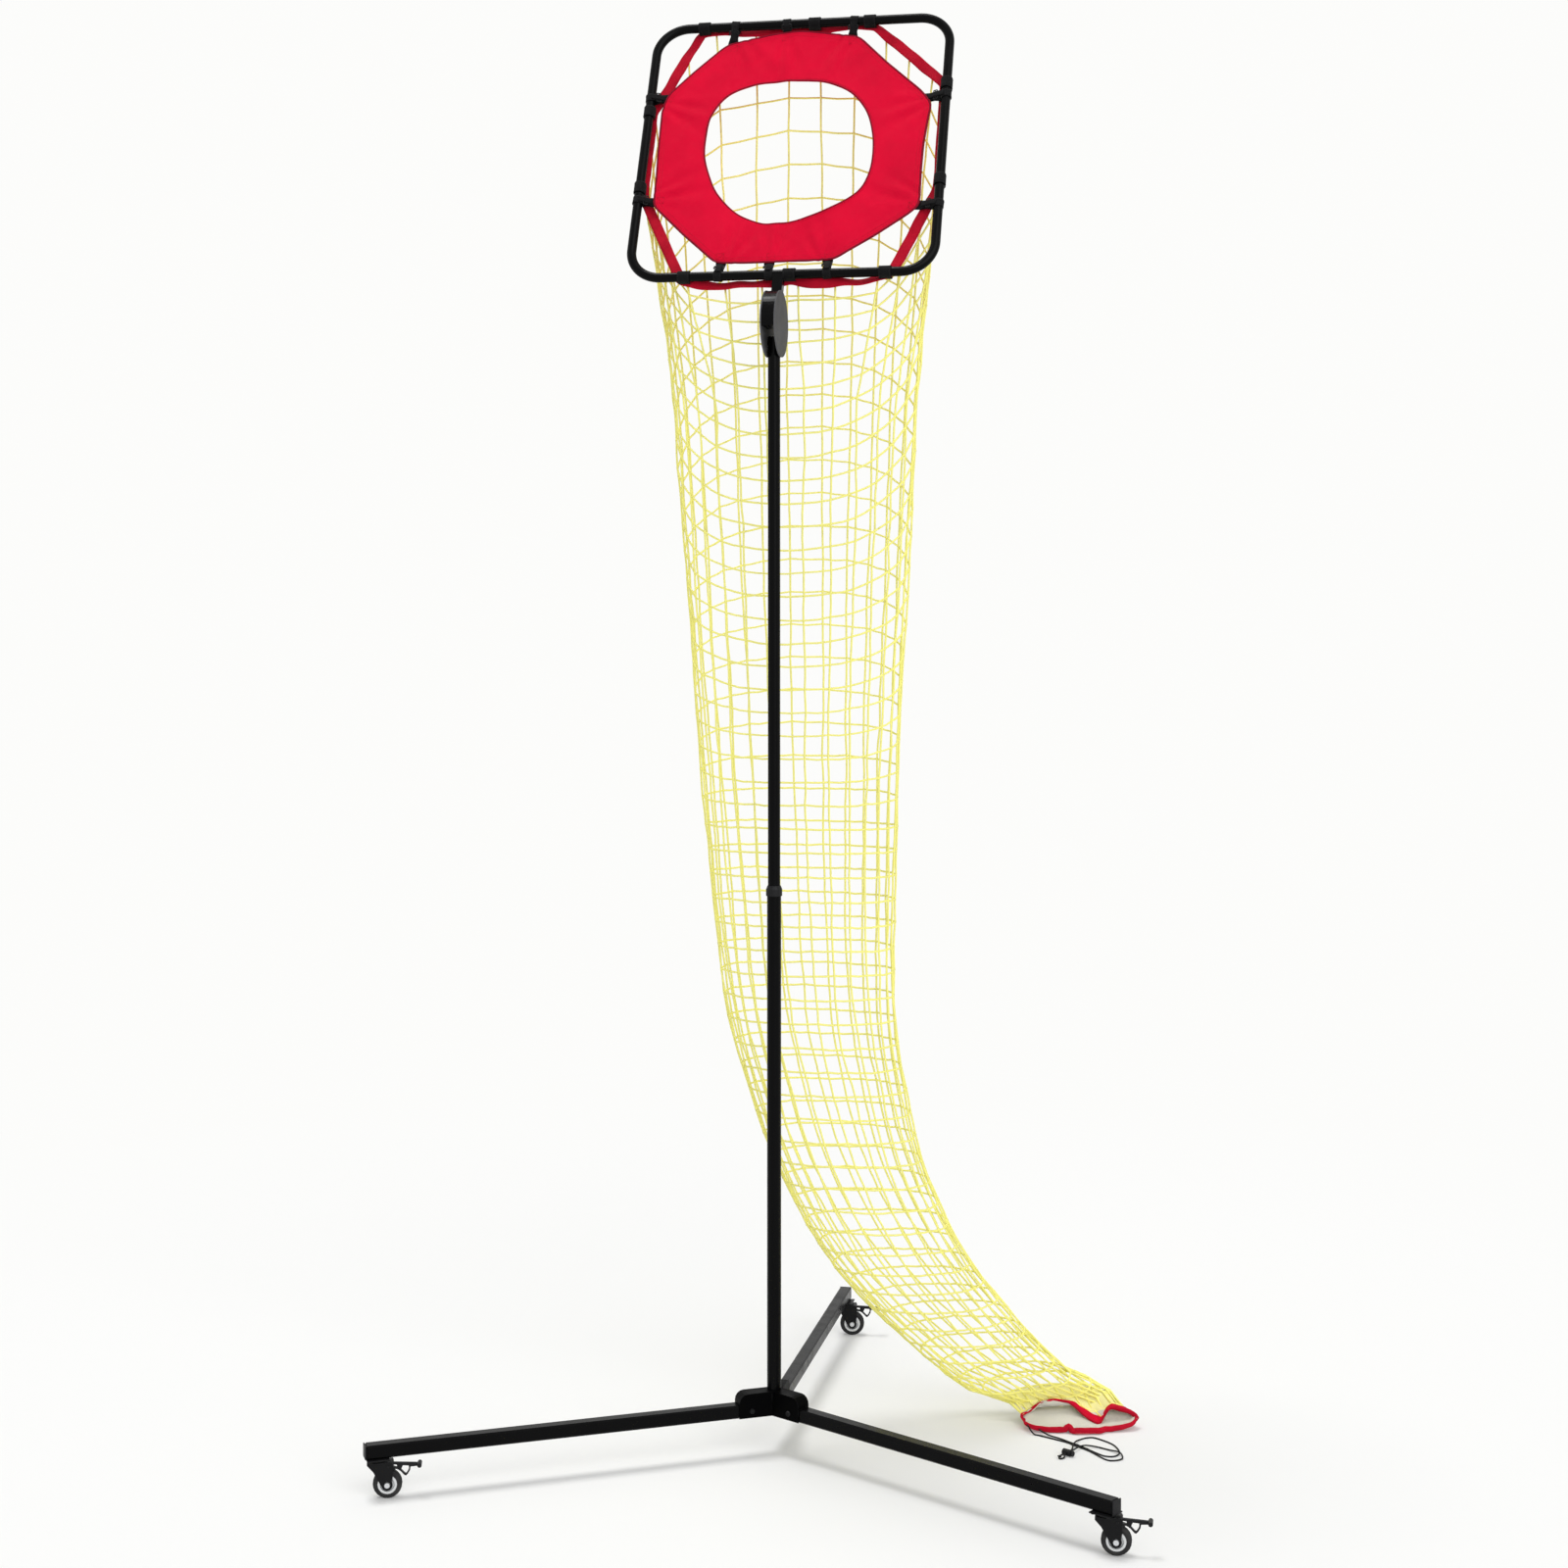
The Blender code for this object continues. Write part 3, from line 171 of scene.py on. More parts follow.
class Shape:
    """Vertices, faces, a UV for each face corner in metres, and a material number for each face."""

    def __init__(self):
        self.verts = []
        self.faces = []
        self.uvs = []
        self.looks = []

    def face(self, corners, uvs, look, turned):
        self.faces.append(corners[::-1] if turned else corners)
        self.uvs.append(uvs[::-1] if turned else uvs)
        self.looks.append(look)

    def grid(self, rows, closed=False, look=0, flip=False, uv=None, caps=False):
        """Rows of points joined by quads; a closed one joins each row's end to its start."""
        rows = np.asarray(rows, float)
        count, wide = rows.shape[:2]
        first = len(self.verts)
        self.verts.extend(rows.reshape(-1, 3).tolist())
        if uv is None:
            around = np.concatenate([rows, rows[:, :1]], axis=1) if closed else rows
            across = np.linalg.norm(np.diff(around, axis=1), axis=2).mean(axis=0)
            down = np.linalg.norm(np.diff(rows, axis=0), axis=2).mean(axis=1)
            u = np.concatenate([[0.0], np.cumsum(across)])
            v = np.concatenate([[0.0], np.cumsum(down)])
            uv = np.stack(np.broadcast_arrays(u[None, :], v[:, None]), axis=2)
        for r in range(count - 1):
            near, far = first + r * wide, first + (r + 1) * wide
            for c in range(wide if closed else wide - 1):
                d = (c + 1) % wide
                self.face([near + c, near + d, far + d, far + c],
                          [uv[r][c], uv[r][c + 1], uv[r + 1][c + 1], uv[r + 1][c]], look, flip)
        if caps:
            for r in (0, count - 1):
                start = first + r * wide
                self.face(list(range(start, start + wide)), list(uv[r][:wide]), look, (r == 0) != flip)
        return self

    def tube(self, points, radius, sides=8, closed=False, look=0):
        """A tube along points; radius is one number or one for each point."""
        path = np.asarray(points, float)
        if closed:
            ahead = np.roll(path, -1, axis=0) - np.roll(path, 1, axis=0)
        else:
            ahead = np.gradient(path, axis=0)
        ahead /= np.linalg.norm(ahead, axis=1)[:, None] + 1e-12
        side = np.array((1.0, 0.0, 0.0) if abs(ahead[0, 2]) > 0.95 else UP)
        radii = np.broadcast_to(np.asarray(radius, float), (len(path),))
        turns = np.arange(sides) * (CIRCLE / sides)
        rows = []
        for spot, way, size in zip(path, ahead, radii):
            side = side - (side @ way) * way
            side /= np.linalg.norm(side)
            other = np.cross(way, side)
            rows.append(spot + size * (np.cos(turns)[:, None] * side + np.sin(turns)[:, None] * other))
        run = run_of(path)
        if closed:
            rows.append(rows[0])
            run = np.append(run, run[-1] + np.linalg.norm(path[0] - path[-1]))
        u = np.arange(sides + 1) * (CIRCLE * float(radii.mean()) / sides)
        uv = np.stack(np.broadcast_arrays(u[None, :], run[:, None]), axis=2)
        return self.grid(rows, True, look, uv=uv, caps=not closed)

    def mesh(self, name, looks, merge=0.0):
        """A mesh with these materials; points closer than merge become one."""
        made = bpy.data.meshes.new(name)
        made.from_pydata(self.verts, [], self.faces)
        layer = made.uv_layers.new(name="metres")
        flat = np.array([c for face in self.uvs for c in face], np.float32)
        layer.data.foreach_set("uv", flat.ravel())
        made.polygons.foreach_set("material_index", self.looks)
        for look in looks:
            made.materials.append(look)
        made.validate()
        if merge:
            bm = bmesh.new()
            bm.from_mesh(made)
            bmesh.ops.remove_doubles(bm, verts=bm.verts, dist=merge)
            bm.to_mesh(made)
            bm.free()
        made.shade_smooth()
        return made

    def piece(self, name, looks, body, stands_for, slot, merge=0.0, sharp=None):
        """A visible piece of this shape; one that rides on the head is made in the head's frame."""
        place = HEAD if body == "head" else None
        return piece(name, self.mesh(name, looks, merge), body, sharp, place, [stands_for])


def add_object(name, data):
    obj = bpy.data.objects.new(name, data)
    bpy.context.scene.collection.objects.link(obj)
    return obj


def piece(name, mesh, body=None, sharp=None, place=None, stands_for=()):
    """A visible piece: where it is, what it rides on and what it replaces."""
    obj = add_object(name, mesh)
    if place is not None:
        obj.matrix_world = place
    if sharp:
        mesh.set_sharp_from_angle(angle=math.radians(sharp))
    if body:
        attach(obj, body)
    if stands_for:
        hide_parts(*stands_for)
    return obj


def thicken(obj, thickness, inside=0):
    """Thickness to both sides of a surface; inside is added to the material number of its inner face."""
    skin = obj.modifiers.new("thickness", "SOLIDIFY")
    skin.thickness = thickness
    skin.offset = 0.0
    skin.material_offset = inside


# Materials

def add_node(tree, kind, inputs=None, **settings):
    """A node with its settings, and its inputs set to values or linked to sockets."""
    made = tree.nodes.new(kind)
    for key, value in settings.items():
        setattr(made, key, value)
    for key, value in (inputs or {}).items():
        if isinstance(value, bpy.types.NodeSocket):
            tree.links.new(value, made.inputs[key])
        else:
            made.inputs[key].default_value = value
    return made


class Look:
    """A Principled material and the nodes that vary it."""

    def __init__(self, name, colour, rough, metal=0.0, specular=0.5, **values):
        self.made = bpy.data.materials.new(name)
        self.made.use_nodes = True
        self.tree = self.made.node_tree
        self.shader = self.tree.nodes["Principled BSDF"]
        self.made.diffuse_color = (*colour, 1.0)
        self.colour = colour
        self.normal = None
        plain = {"Base Color": (*colour, 1.0), "Roughness": rough, "Metallic": metal,
                 "Specular IOR Level": specular}
        for key, value in (plain | values).items():
            self.shader.inputs[key.replace("_", " ")].default_value = value

    def node(self, kind, inputs=None, **settings):
        return add_node(self.tree, kind, inputs, **settings)

    def where(self, source="Object", scale=(1.0, 1.0, 1.0), turn=0.0):
        place = self.node("ShaderNodeTexCoord").outputs[source]
        made = self.node("ShaderNodeMapping", {"Vector": place, "Scale": scale, "Rotation": (0.0, 0.0, turn)})
        return made.outputs["Vector"]

    def noise(self, scale, detail=3.0, place=None):
        inputs = {"Vector": place or self.where(), "Scale": scale, "Detail": detail, "Roughness": 0.55}
        return self.node("ShaderNodeTexNoise", inputs).outputs["Fac"]

    def wave(self, period, place, direction, distortion=0.0):
        """Waves a period apart; at scale 1 they would be 0.314159 apart."""
        inputs = {"Vector": place, "Scale": 0.314159 / period, "Distortion": distortion, "Detail": 1.0}
        return self.node("ShaderNodeTexWave", inputs, bands_direction=direction).outputs["Fac"]

    def math(self, operation, a, b, clamp=False):
        made = self.node("ShaderNodeMath", {0: a, 1: b}, operation=operation, use_clamp=clamp)
        return made.outputs["Value"]

    def scaled(self, fac, low, high, start=0.3, end=0.7):
        inputs = {"Value": fac, "From Min": start, "From Max": end, "To Min": low, "To Max": high}
        return self.node("ShaderNodeMapRange", inputs).outputs["Result"]

    def blend(self, fac, a, b):
        a, b = (c if isinstance(c, bpy.types.NodeSocket) else (*c, 1.0) for c in (a, b))
        return self.node("ShaderNodeMix", {"Factor": fac, 6: a, 7: b}, data_type="RGBA").outputs[2]

    def vary(self, fac, dark, light):
        """The base colour, from a darker to a lighter share of itself."""
        return self.blend(fac, *(tuple(min(1.0, c * share) for c in self.colour) for share in (dark, light)))

    def colour_from(self, socket):
        self.tree.links.new(socket, self.shader.inputs["Base Color"])

    def rough_from(self, fac, low, high):
        self.tree.links.new(self.scaled(fac, low, high), self.shader.inputs["Roughness"])

    def bump(self, height, distance, strength):
        inputs = {"Height": height, "Distance": distance, "Strength": strength}
        if self.normal:
            inputs["Normal"] = self.normal
        self.normal = self.node("ShaderNodeBump", inputs).outputs["Normal"]
        self.tree.links.new(self.normal, self.shader.inputs["Normal"])

    def worn_and_highlit_edges(self, radius, colour):
        """A lighter colour where the surface turns within this radius: partly rubbed wear, partly a painted
        highlight along the edge.
        """
        soft = self.node("ShaderNodeBevel", {"Radius": radius}, samples=4).outputs["Normal"]
        plain = self.node("ShaderNodeNewGeometry").outputs["Normal"]
        facing = self.node("ShaderNodeVectorMath", {0: soft, 1: plain}, operation="DOT_PRODUCT")
        turned = self.scaled(facing.outputs["Value"], 0.75, 0.0, 0.80, 0.97)
        # Edge mask broken up by noise: rubbed wear, and a painted highlight where an edge catches the light.
        rubbed_and_highlit = self.math("MULTIPLY", turned, self.scaled(self.noise(45.0), 0.15, 1.0, 0.42, 0.62), True)
        link = self.shader.inputs["Base Color"].links
        base = link[0].from_socket if link else self.colour
        self.colour_from(self.blend(rubbed_and_highlit, base, colour))


def painted(name, colour, rough, specular, edge):
    """Paint or black oxide on metal, lighter along its edges: partly rubbed wear, partly a painted highlight.
    """
    look = Look(name, colour, rough, specular=specular)
    look.colour_from(look.vary(look.noise(7.0), 0.75, 1.35))
    look.rough_from(look.noise(30.0, 4.0), rough - 0.06, rough + 0.10)
    look.bump(look.noise(900.0, 2.0), 0.00006, 0.5)
    look.bump(look.noise(60.0, 2.0), 0.0001, 0.25)
    # Lighter edges: partly rubbed wear, partly a painted highlight line.
    look.worn_and_highlit_edges(0.0012, edge)
    return look.made


def plated(name, colour, rough):
    look = Look(name, colour, rough, metal=1.0)
    look.colour_from(look.vary(look.noise(35.0), 0.78, 1.12))
    look.rough_from(look.noise(120.0, 4.0), rough - 0.08, rough + 0.14)
    look.bump(look.noise(1400.0, 3.0, place=look.where(scale=(1.0, 0.2, 1.0))), 0.00002, 0.6)
    return look.made


def moulded(name, colour, rough):
    look = Look(name, colour, rough, specular=0.18)
    look.colour_from(look.vary(look.noise(14.0), 0.8, 1.3))
    look.rough_from(look.noise(50.0), rough - 0.05, rough + 0.08)
    look.bump(look.noise(1500.0, 2.0), 0.00005, 0.7)
    return look.made


def rubber():
    look = Look("tyre_rubber", (0.016, 0.016, 0.017), 0.80, specular=0.3)
    dust = look.scaled(look.noise(28.0, 5.0), 0.0, 0.55, 0.50, 0.72)
    look.colour_from(look.blend(dust, (0.014, 0.014, 0.015), (0.045, 0.043, 0.040)))
    look.rough_from(look.noise(60.0), 0.70, 0.92)
    look.bump(look.noise(1100.0), 0.00008, 0.6)
    return look.made


def woven(name, colour, pitch, dark, light, sheen=0.15, specular=0.15):
    """Plain-woven cloth laid out in UV metres."""
    look = Look(name, colour, 0.80, specular=specular, Sheen_Weight=sheen, Sheen_Roughness=0.5)
    flat = look.where("UV")
    thread = look.math("MULTIPLY", look.wave(pitch, flat, "X"), look.wave(pitch, flat, "Y"))
    uneven = look.noise(9.0, 4.0, place=flat)
    shade = look.vary(look.scaled(uneven, 0.0, 1.0, 0.25, 0.75), dark, light)
    # Darker between the threads: painted shade in the hollows of the weave.
    between = look.scaled(thread, 0.30, 0.0, 0.0, 0.5)
    look.colour_from(look.blend(between, shade, tuple(c * 0.45 for c in colour)))
    look.rough_from(look.noise(80.0, 3.0, place=flat), 0.72, 0.90)
    look.bump(thread, 0.00012, 0.8)
    look.bump(look.noise(160.0, 3.0, place=flat), 0.0004, 0.35)
    return look.made


def webbing(name, colour, dark, light):
    """Ribbed webbing: a herringbone across, laid out in UV metres along V."""
    look = Look(name, colour, 0.82, specular=0.12, Sheen_Weight=0.02)
    flat = look.where("UV")
    rib = look.wave(0.0013, look.where("UV", turn=math.radians(38.0)), "X")
    weave = look.math("MULTIPLY", rib, look.wave(0.0009, flat, "Y"))
    shade = look.vary(look.scaled(look.noise(24.0, 4.0, place=flat), 0.0, 1.0), dark, light)
    # Darker between the ribs: painted shade in the hollows of the weave.
    between = look.scaled(weave, 0.45, 0.0, 0.0, 0.5)
    look.colour_from(look.blend(between, shade, tuple(c * 0.4 for c in colour)))
    look.bump(weave, 0.00025, 0.9)
    return look.made


def twine(name, colour, period, dark=0.8, light=1.1):
    """Twisted or braided line, laid out in UV metres along V."""
    look = Look(name, colour, 0.6, specular=0.15)
    lays = [look.wave(period, look.where("UV", turn=math.radians(turn)), "Y", 0.4) for turn in (32.0, -32.0)]
    lay = look.math("MAXIMUM", *lays)
    shade = look.vary(look.scaled(look.noise(5.0, 4.0), 0.0, 1.0), dark, light)
    # Darker between the twisted strands: painted shade in the grooves of the lay.
    between = look.scaled(lay, 0.10, 0.0, 0.1, 0.8)
    look.colour_from(look.blend(between, shade, tuple(c * 0.55 for c in colour)))
    look.bump(lay, period * 0.12, 0.8)
    return look.made


# The last colour of each painted look is laid along its edges: partly rubbed wear, partly a painted
# highlight.
BLACK_PAINT = painted("black_powder_coat", (0.0016, 0.0016, 0.0018), 0.24, 0.065, (0.012, 0.012, 0.013))
GREY_PAINT = painted("grey_powder_coat", (0.090, 0.090, 0.095), 0.60, 0.02, (0.13, 0.13, 0.135))
HUB_BLACK = painted("matt_black_coat", (0.0008, 0.0008, 0.0009), 0.42, 0.02, (0.060, 0.060, 0.062))
BLACK_STEEL = painted("black_steel", (0.005, 0.005, 0.0055), 0.36, 0.12, (0.04, 0.04, 0.042))
ZINC = plated("zinc_plate", (0.66, 0.67, 0.69), 0.32)
RIM_SILVER = plated("rim_silver", (0.66, 0.67, 0.68), 0.42)
PLASTIC = moulded("black_plastic", (0.006, 0.006, 0.007), 0.48)
RUBBER = rubber()
RED_CLOTH = woven("red_oxford", (0.720, 0.0020, 0.032), 0.0011, 0.88, 1.12, sheen=0.02, specular=0.06)
RED_TAPE = webbing("red_webbing", (0.560, 0.003, 0.024), 0.85, 1.15)
MAROON = webbing("maroon_binding", (0.260, 0.002, 0.018), 0.8, 1.25)
LINING = woven("pale_lining", (0.720, 0.700, 0.600), 0.0010, 0.88, 1.08)
LEMON_LINING = woven("lemon_lining", (0.930, 0.880, 0.380), 0.0010, 0.92, 1.06)
BLACK_WEB = webbing("black_webbing", (0.0055, 0.0055, 0.0060), 0.7, 1.6)
LEMON = twine("lemon_twine", (0.975, 0.925, 0.270), 0.0030, 0.96, 1.03)
CORD_BLACK = twine("black_cord", (0.006, 0.006, 0.0065), 0.0016, 0.8, 1.6)
THREAD = twine("red_thread", (0.420, 0.006, 0.026), 0.0009)
DARK_THREAD = twine("dark_thread", (0.030, 0.028, 0.030), 0.0009)

SLOT_LOOKS = {
    "black_paint": BLACK_PAINT, "grey_paint": GREY_PAINT, "black_steel": BLACK_STEEL, "zinc": ZINC,
    "rubber": RUBBER, "wheel_core": RIM_SILVER, "black_plastic": PLASTIC, "red_fabric": RED_CLOTH,
    "webbing": BLACK_WEB, "net_cord": LEMON, "draw_cord": CORD_BLACK,
}

# Widths of the rounded edges on the CAD's nodes, by the start of a node's name, and angles in degrees
EDGE_ROUND = {
    "hub": 0.0022, "leg_tube": 0.0010, "leg_cap": 0.0008, "caster_fork": 0.0006, "caster_plate": 0.0005,
    "brake_pedal": 0.0007, "tilt_cheek": 0.0008, "tilt_knuckle": 0.0012, "mast_collar": 0.0008,
    "caster_tyre": 0.0006, "caster_axle": 0.0005, "cord_lock": 0.0005, "leg_bolt": 0.0005,
}
ROUND_FROM = 38.0
SMOOTH_UP_TO = 32.0


def smoothing():
    """A node group that shades a mesh smooth up to an angle."""
    group = bpy.data.node_groups.new("smooth_to_angle", "GeometryNodeTree")
    for way in ("INPUT", "OUTPUT"):
        group.interface.new_socket("Geometry", in_out=way, socket_type="NodeSocketGeometry")
    start = add_node(group, "NodeGroupInput").outputs[0]
    faces = add_node(group, "GeometryNodeSetShadeSmooth", {"Geometry": start}).outputs[0]
    angle = add_node(group, "GeometryNodeInputMeshEdgeAngle").outputs["Unsigned Angle"]
    wide = add_node(group, "FunctionNodeCompare", {"A": angle, "B": math.radians(SMOOTH_UP_TO)},
                    operation="GREATER_THAN").outputs[0]
    inputs = {"Geometry": faces, "Selection": wide, "Shade Smooth": False}
    edges = add_node(group, "GeometryNodeSetShadeSmooth", inputs, domain="EDGE").outputs[0]
    add_node(group, "NodeGroupOutput", {0: edges})
    return group


def dress_nodes():
    """Materials, rounded edges and smooth shading on the CAD's own nodes."""
    group = smoothing()
    for row in frame["record"]["subparts"]:
        name = row["node"]
        obj = NODES[name]
        obj.data.materials.clear()
        obj.data.materials.append(HUB_BLACK if name == "hub" else SLOT_LOOKS[row["material_slot"]])
        for start, wide in EDGE_ROUND.items():
            if name.startswith(start):
                edge = obj.modifiers.new("rounded edges", "BEVEL")
                edge.width = wide
                edge.segments = 2
                edge.limit_method = "ANGLE"
                edge.angle_limit = math.radians(ROUND_FROM)
        obj.modifiers.new("smooth", "NODES").node_group = group


# Camera, light and floor

# The photograph's focal length and width in pixels, its turns in degrees, and its place from the pole's foot
FOCAL_PIXELS = 2488.6
PHOTO_PIXELS = 1600
SENSOR = 36.0
VIEW_TURNS = (11.534, 1.406)
VIEW_PLACE = (5.505, 1.940, 0.0224)
VIEW_SHIFT = -0.08
# The background that is seen, the sky that lights, and the floor with the distances over which it fades
WHITE = (0.975, 0.975, 0.962, 1.0)
SKY = (0.98, 0.99, 1.0, 1.0)
SKY_POWER = 0.42
FLOOR_COLOUR = (0.845, 0.845, 0.836, 1.0)
FADE_FROM = 1.3
FADE_TO = 4.2


def build_camera():
    """The photograph's view; its optical axis is above the middle of the picture."""
    yaw, pitch = (math.radians(turn) for turn in VIEW_TURNS)
    back, rise, aside = VIEW_PLACE
    right = Vector((math.cos(yaw), math.sin(yaw), 0.0))
    level = Vector((-math.sin(yaw), math.cos(yaw), 0.0))
    up = Vector(UP)
    look = level * math.cos(pitch) - up * math.sin(pitch)
    top = up * math.cos(pitch) + level * math.sin(pitch)
    camera = bpy.data.cameras.new("camera")
    camera.lens = FOCAL_PIXELS / PHOTO_PIXELS * SENSOR
    camera.shift_y = VIEW_SHIFT
    obj = add_object("camera", camera)
    turn = Matrix((right, top, -look)).transposed().to_4x4()
    obj.matrix_world = Matrix.Translation(POLE - level * back + up * rise + right * aside) @ turn
    bpy.context.scene.camera = obj


def add_sun(name, toward, power, spread):
    """A sun seen toward a direction, with its strength and its width in degrees."""
    data = bpy.data.lights.new(name, "SUN")
    data.energy = power
    data.angle = math.radians(spread)
    add_object(name, data).matrix_world = Vector(toward).to_track_quat("Z", "Y").to_matrix().to_4x4()


def seen_directly(tree):
    """1 for camera, glossy and transmission rays."""
    rays = add_node(tree, "ShaderNodeLightPath").outputs
    total = rays["Is Camera Ray"]
    for name in ("Is Glossy Ray", "Is Transmission Ray"):
        total = add_node(tree, "ShaderNodeMath", {0: total, 1: rays[name]}, operation="MAXIMUM").outputs[0]
    return total


def build_world():
    """A soft pale sky that lights the object, and the white background that is seen."""
    world = bpy.data.worlds.new("studio")
    bpy.context.scene.world = world
    world.use_nodes = True
    tree = world.node_tree
    tree.nodes.clear()
    lit, shown = (add_node(tree, "ShaderNodeBackground", {"Color": colour, "Strength": power}).outputs[0]
                  for colour, power in ((SKY, SKY_POWER), (WHITE, 1.0)))
    mix = add_node(tree, "ShaderNodeMixShader", {0: seen_directly(tree), 1: lit, 2: shown})
    add_node(tree, "ShaderNodeOutputWorld", {0: mix.outputs[0]})


def build_floor():
    """A pale floor that keeps the object's shadow and fades into the background with distance."""
    mesh = bpy.data.meshes.new("floor")
    reach = 30.0
    mesh.from_pydata([(-reach, -reach, 0), (reach, -reach, 0), (reach, reach, 0), (-reach, reach, 0)], [],
                     [(0, 1, 2, 3)])
    look = bpy.data.materials.new("pale_floor")
    look.use_nodes = True
    tree = look.node_tree
    shader = tree.nodes["Principled BSDF"]
    for key, value in (("Base Color", FLOOR_COLOUR), ("Roughness", 0.85), ("Specular IOR Level", 0.1)):
        shader.inputs[key].default_value = value
    place = add_node(tree, "ShaderNodeTexCoord").outputs["Object"]
    away = add_node(tree, "ShaderNodeVectorMath", {0: place}, operation="LENGTH").outputs["Value"]
    fade = {"Value": away, "From Min": FADE_FROM, "From Max": FADE_TO, "To Min": 0.15, "To Max": 1.0}
    far = add_node(tree, "ShaderNodeMapRange", fade, interpolation_type="SMOOTHSTEP").outputs["Result"]
    share = add_node(tree, "ShaderNodeMath", {0: seen_directly(tree), 1: far}, operation="MULTIPLY")
    glow = add_node(tree, "ShaderNodeEmission", {"Color": WHITE}).outputs[0]
    mix = add_node(tree, "ShaderNodeMixShader", {0: share.outputs[0], 1: shader.outputs[0], 2: glow})
    tree.links.new(mix.outputs[0], tree.nodes["Material Output"].inputs[0])
    mesh.materials.append(look)
    obj = add_object("floor", mesh)
    obj.location.z = -0.0002


def build_studio():
    bpy.context.scene.view_settings.view_transform = "Standard"
    build_camera()
    build_world()
    build_floor()
    add_sun("top_sun", (-0.22, 0.08, 1.0), 1.60, 22.0)
    add_sun("front_sun", (0.55, -0.75, 0.55), 1.55, 60.0)


# Cord of the cuff

CORD_RADIUS = 0.0018
CORD_EXITS = (195.0, 225.0)
# The cord's way over the floor between its two exits from the hem, measured from the pole's foot
CORD_ROUTE = (
    (0.5610, 0.2290, 0.0090), (0.5700, 0.2240, 0.0024), (0.5830, 0.2200, 0.0018), (0.6450, 0.1885, 0.0018),
    (0.6640, 0.1720, 0.0018), (0.6880, 0.1530, 0.0018), (0.7090, 0.1330, 0.0018), (0.7440, 0.0920, 0.0018),
    (0.7640, 0.0900, 0.0018), (0.7800, 0.1040, 0.0030), (0.7720, 0.1330, 0.0058), (0.7450, 0.1560, 0.0022),
    (0.7160, 0.1680, 0.0030), (0.6920, 0.1640, 0.0058), (0.6780, 0.1490, 0.0062), (0.6674, 0.1215, 0.0078),
    (0.6517, 0.0927, 0.0072), (0.6515, 0.0834, 0.0030), (0.6418, 0.0762, 0.0018), (0.6400, 0.0890, 0.0030),
    (0.6485, 0.0945, 0.0072), (0.6642, 0.1233, 0.0078), (0.6646, 0.1600, 0.0062), (0.6690, 0.1870, 0.0055),
    (0.6770, 0.2120, 0.0018), (0.6920, 0.2270, 0.0018), (0.7100, 0.2290, 0.0018), (0.7480, 0.1990, 0.0018),
    (0.7650, 0.1680, 0.0018), (0.7710, 0.1400, 0.0018), (0.7630, 0.1180, 0.0018), (0.7450, 0.1130, 0.0018),
    (0.7260, 0.1240, 0.0018), (0.6810, 0.1685, 0.0018), (0.6560, 0.1880, 0.0018), (0.6320, 0.2080, 0.0018),
    (0.6130, 0.2200, 0.0018), (0.5985, 0.2275, 0.0034),
)
KNOT_AT = (0.6404, 0.0822, 0.0052)
# Centre and half-axes of the cuff's gathered end and of its mouth
CUFF_BACK = ((0.655, 0.315, 0.0288), (0.126, 0.030, 0.0), (0.0, 0.015, 0.0233))
CUFF_MOUTH = ((0.673, 0.281, 0.0225), (0.126, 0.030, 0.0), (0.0, 0.024, 0.0170))


def ring_point(station, angle):
    """A point of a slightly squared oval."""
    centre, wide, deep = (Vector(s) for s in station)
    x, y = (math.copysign(abs(way) ** 0.86, way) for way in (math.cos(angle), math.sin(angle)))
    return POLE + centre + wide * x + deep * y


def hem_exit(degrees):
    """Where the cord leaves the cuff's hem, and its way out."""
    turn = math.radians(degrees)
    edge = ring_point(CUFF_MOUTH, turn)
    way = (edge - ring_point(CUFF_BACK, turn)).normalized()
    return edge + way * (0.58 * 2 * CORD_RADIUS + 0.0003), way


def build_cord():
    start, way_out = hem_exit(CORD_EXITS[0])
    end, way_back = hem_exit(CORD_EXITS[1])
    route = [start, start + way_out * 0.007] + [POLE + Vector(p) for p in CORD_ROUTE]
    route += [end + way_back * 0.007, end]
    path = smooth_path(route, 300)
    shape = Shape().tube(path, CORD_RADIUS, 10)
    obj = shape.piece("drawcord_line", [CORD_BLACK], "base", "drawcord", "draw_cord")
    knot = [(math.sin(a) + 2 * math.sin(2 * a), math.cos(a) - 2 * math.cos(2 * a), -1.2 * math.sin(3 * a))
            for a in np.linspace(0.0, CIRCLE, 49)[:-1]]
    spot = np.array(POLE + Vector(KNOT_AT))
    shape = Shape().tube(spot + 0.00115 * np.array(knot), 0.0013, 8, closed=True)
    end_knot = shape.piece("drawcord_knot", [CORD_BLACK], "base", "drawcord", "draw_cord")


# Head frame

def build_head_tube():
    """The bent tube, with the two weld beads at its stem."""
    flat = rounded_loop(BAR_HALF - BAR_CORNER, BAR_LOW + BAR_CORNER, BAR_HIGH - BAR_CORNER, BAR_CORNER, 16)
    shape = Shape().tube([(x, y, 0.0) for x, y in flat], TUBE, 28, closed=True)
    for u in (-0.012, 0.012):
        weld = [(u, BAR_LOW - 0.0098 * math.cos(a), 0.0098 * math.sin(a)) for a in np.linspace(-1.1, 1.1, 12)]
        shape.tube(weld, 0.0024 + 0.0003 * np.sin(np.arange(12) * 2.1), 8)
    shape.piece("head_tube", [BLACK_PAINT], "head", "head_frame", "black_paint", 1e-6, 40)


# Target panel: the outlines of its edge and its hole in the head's plane

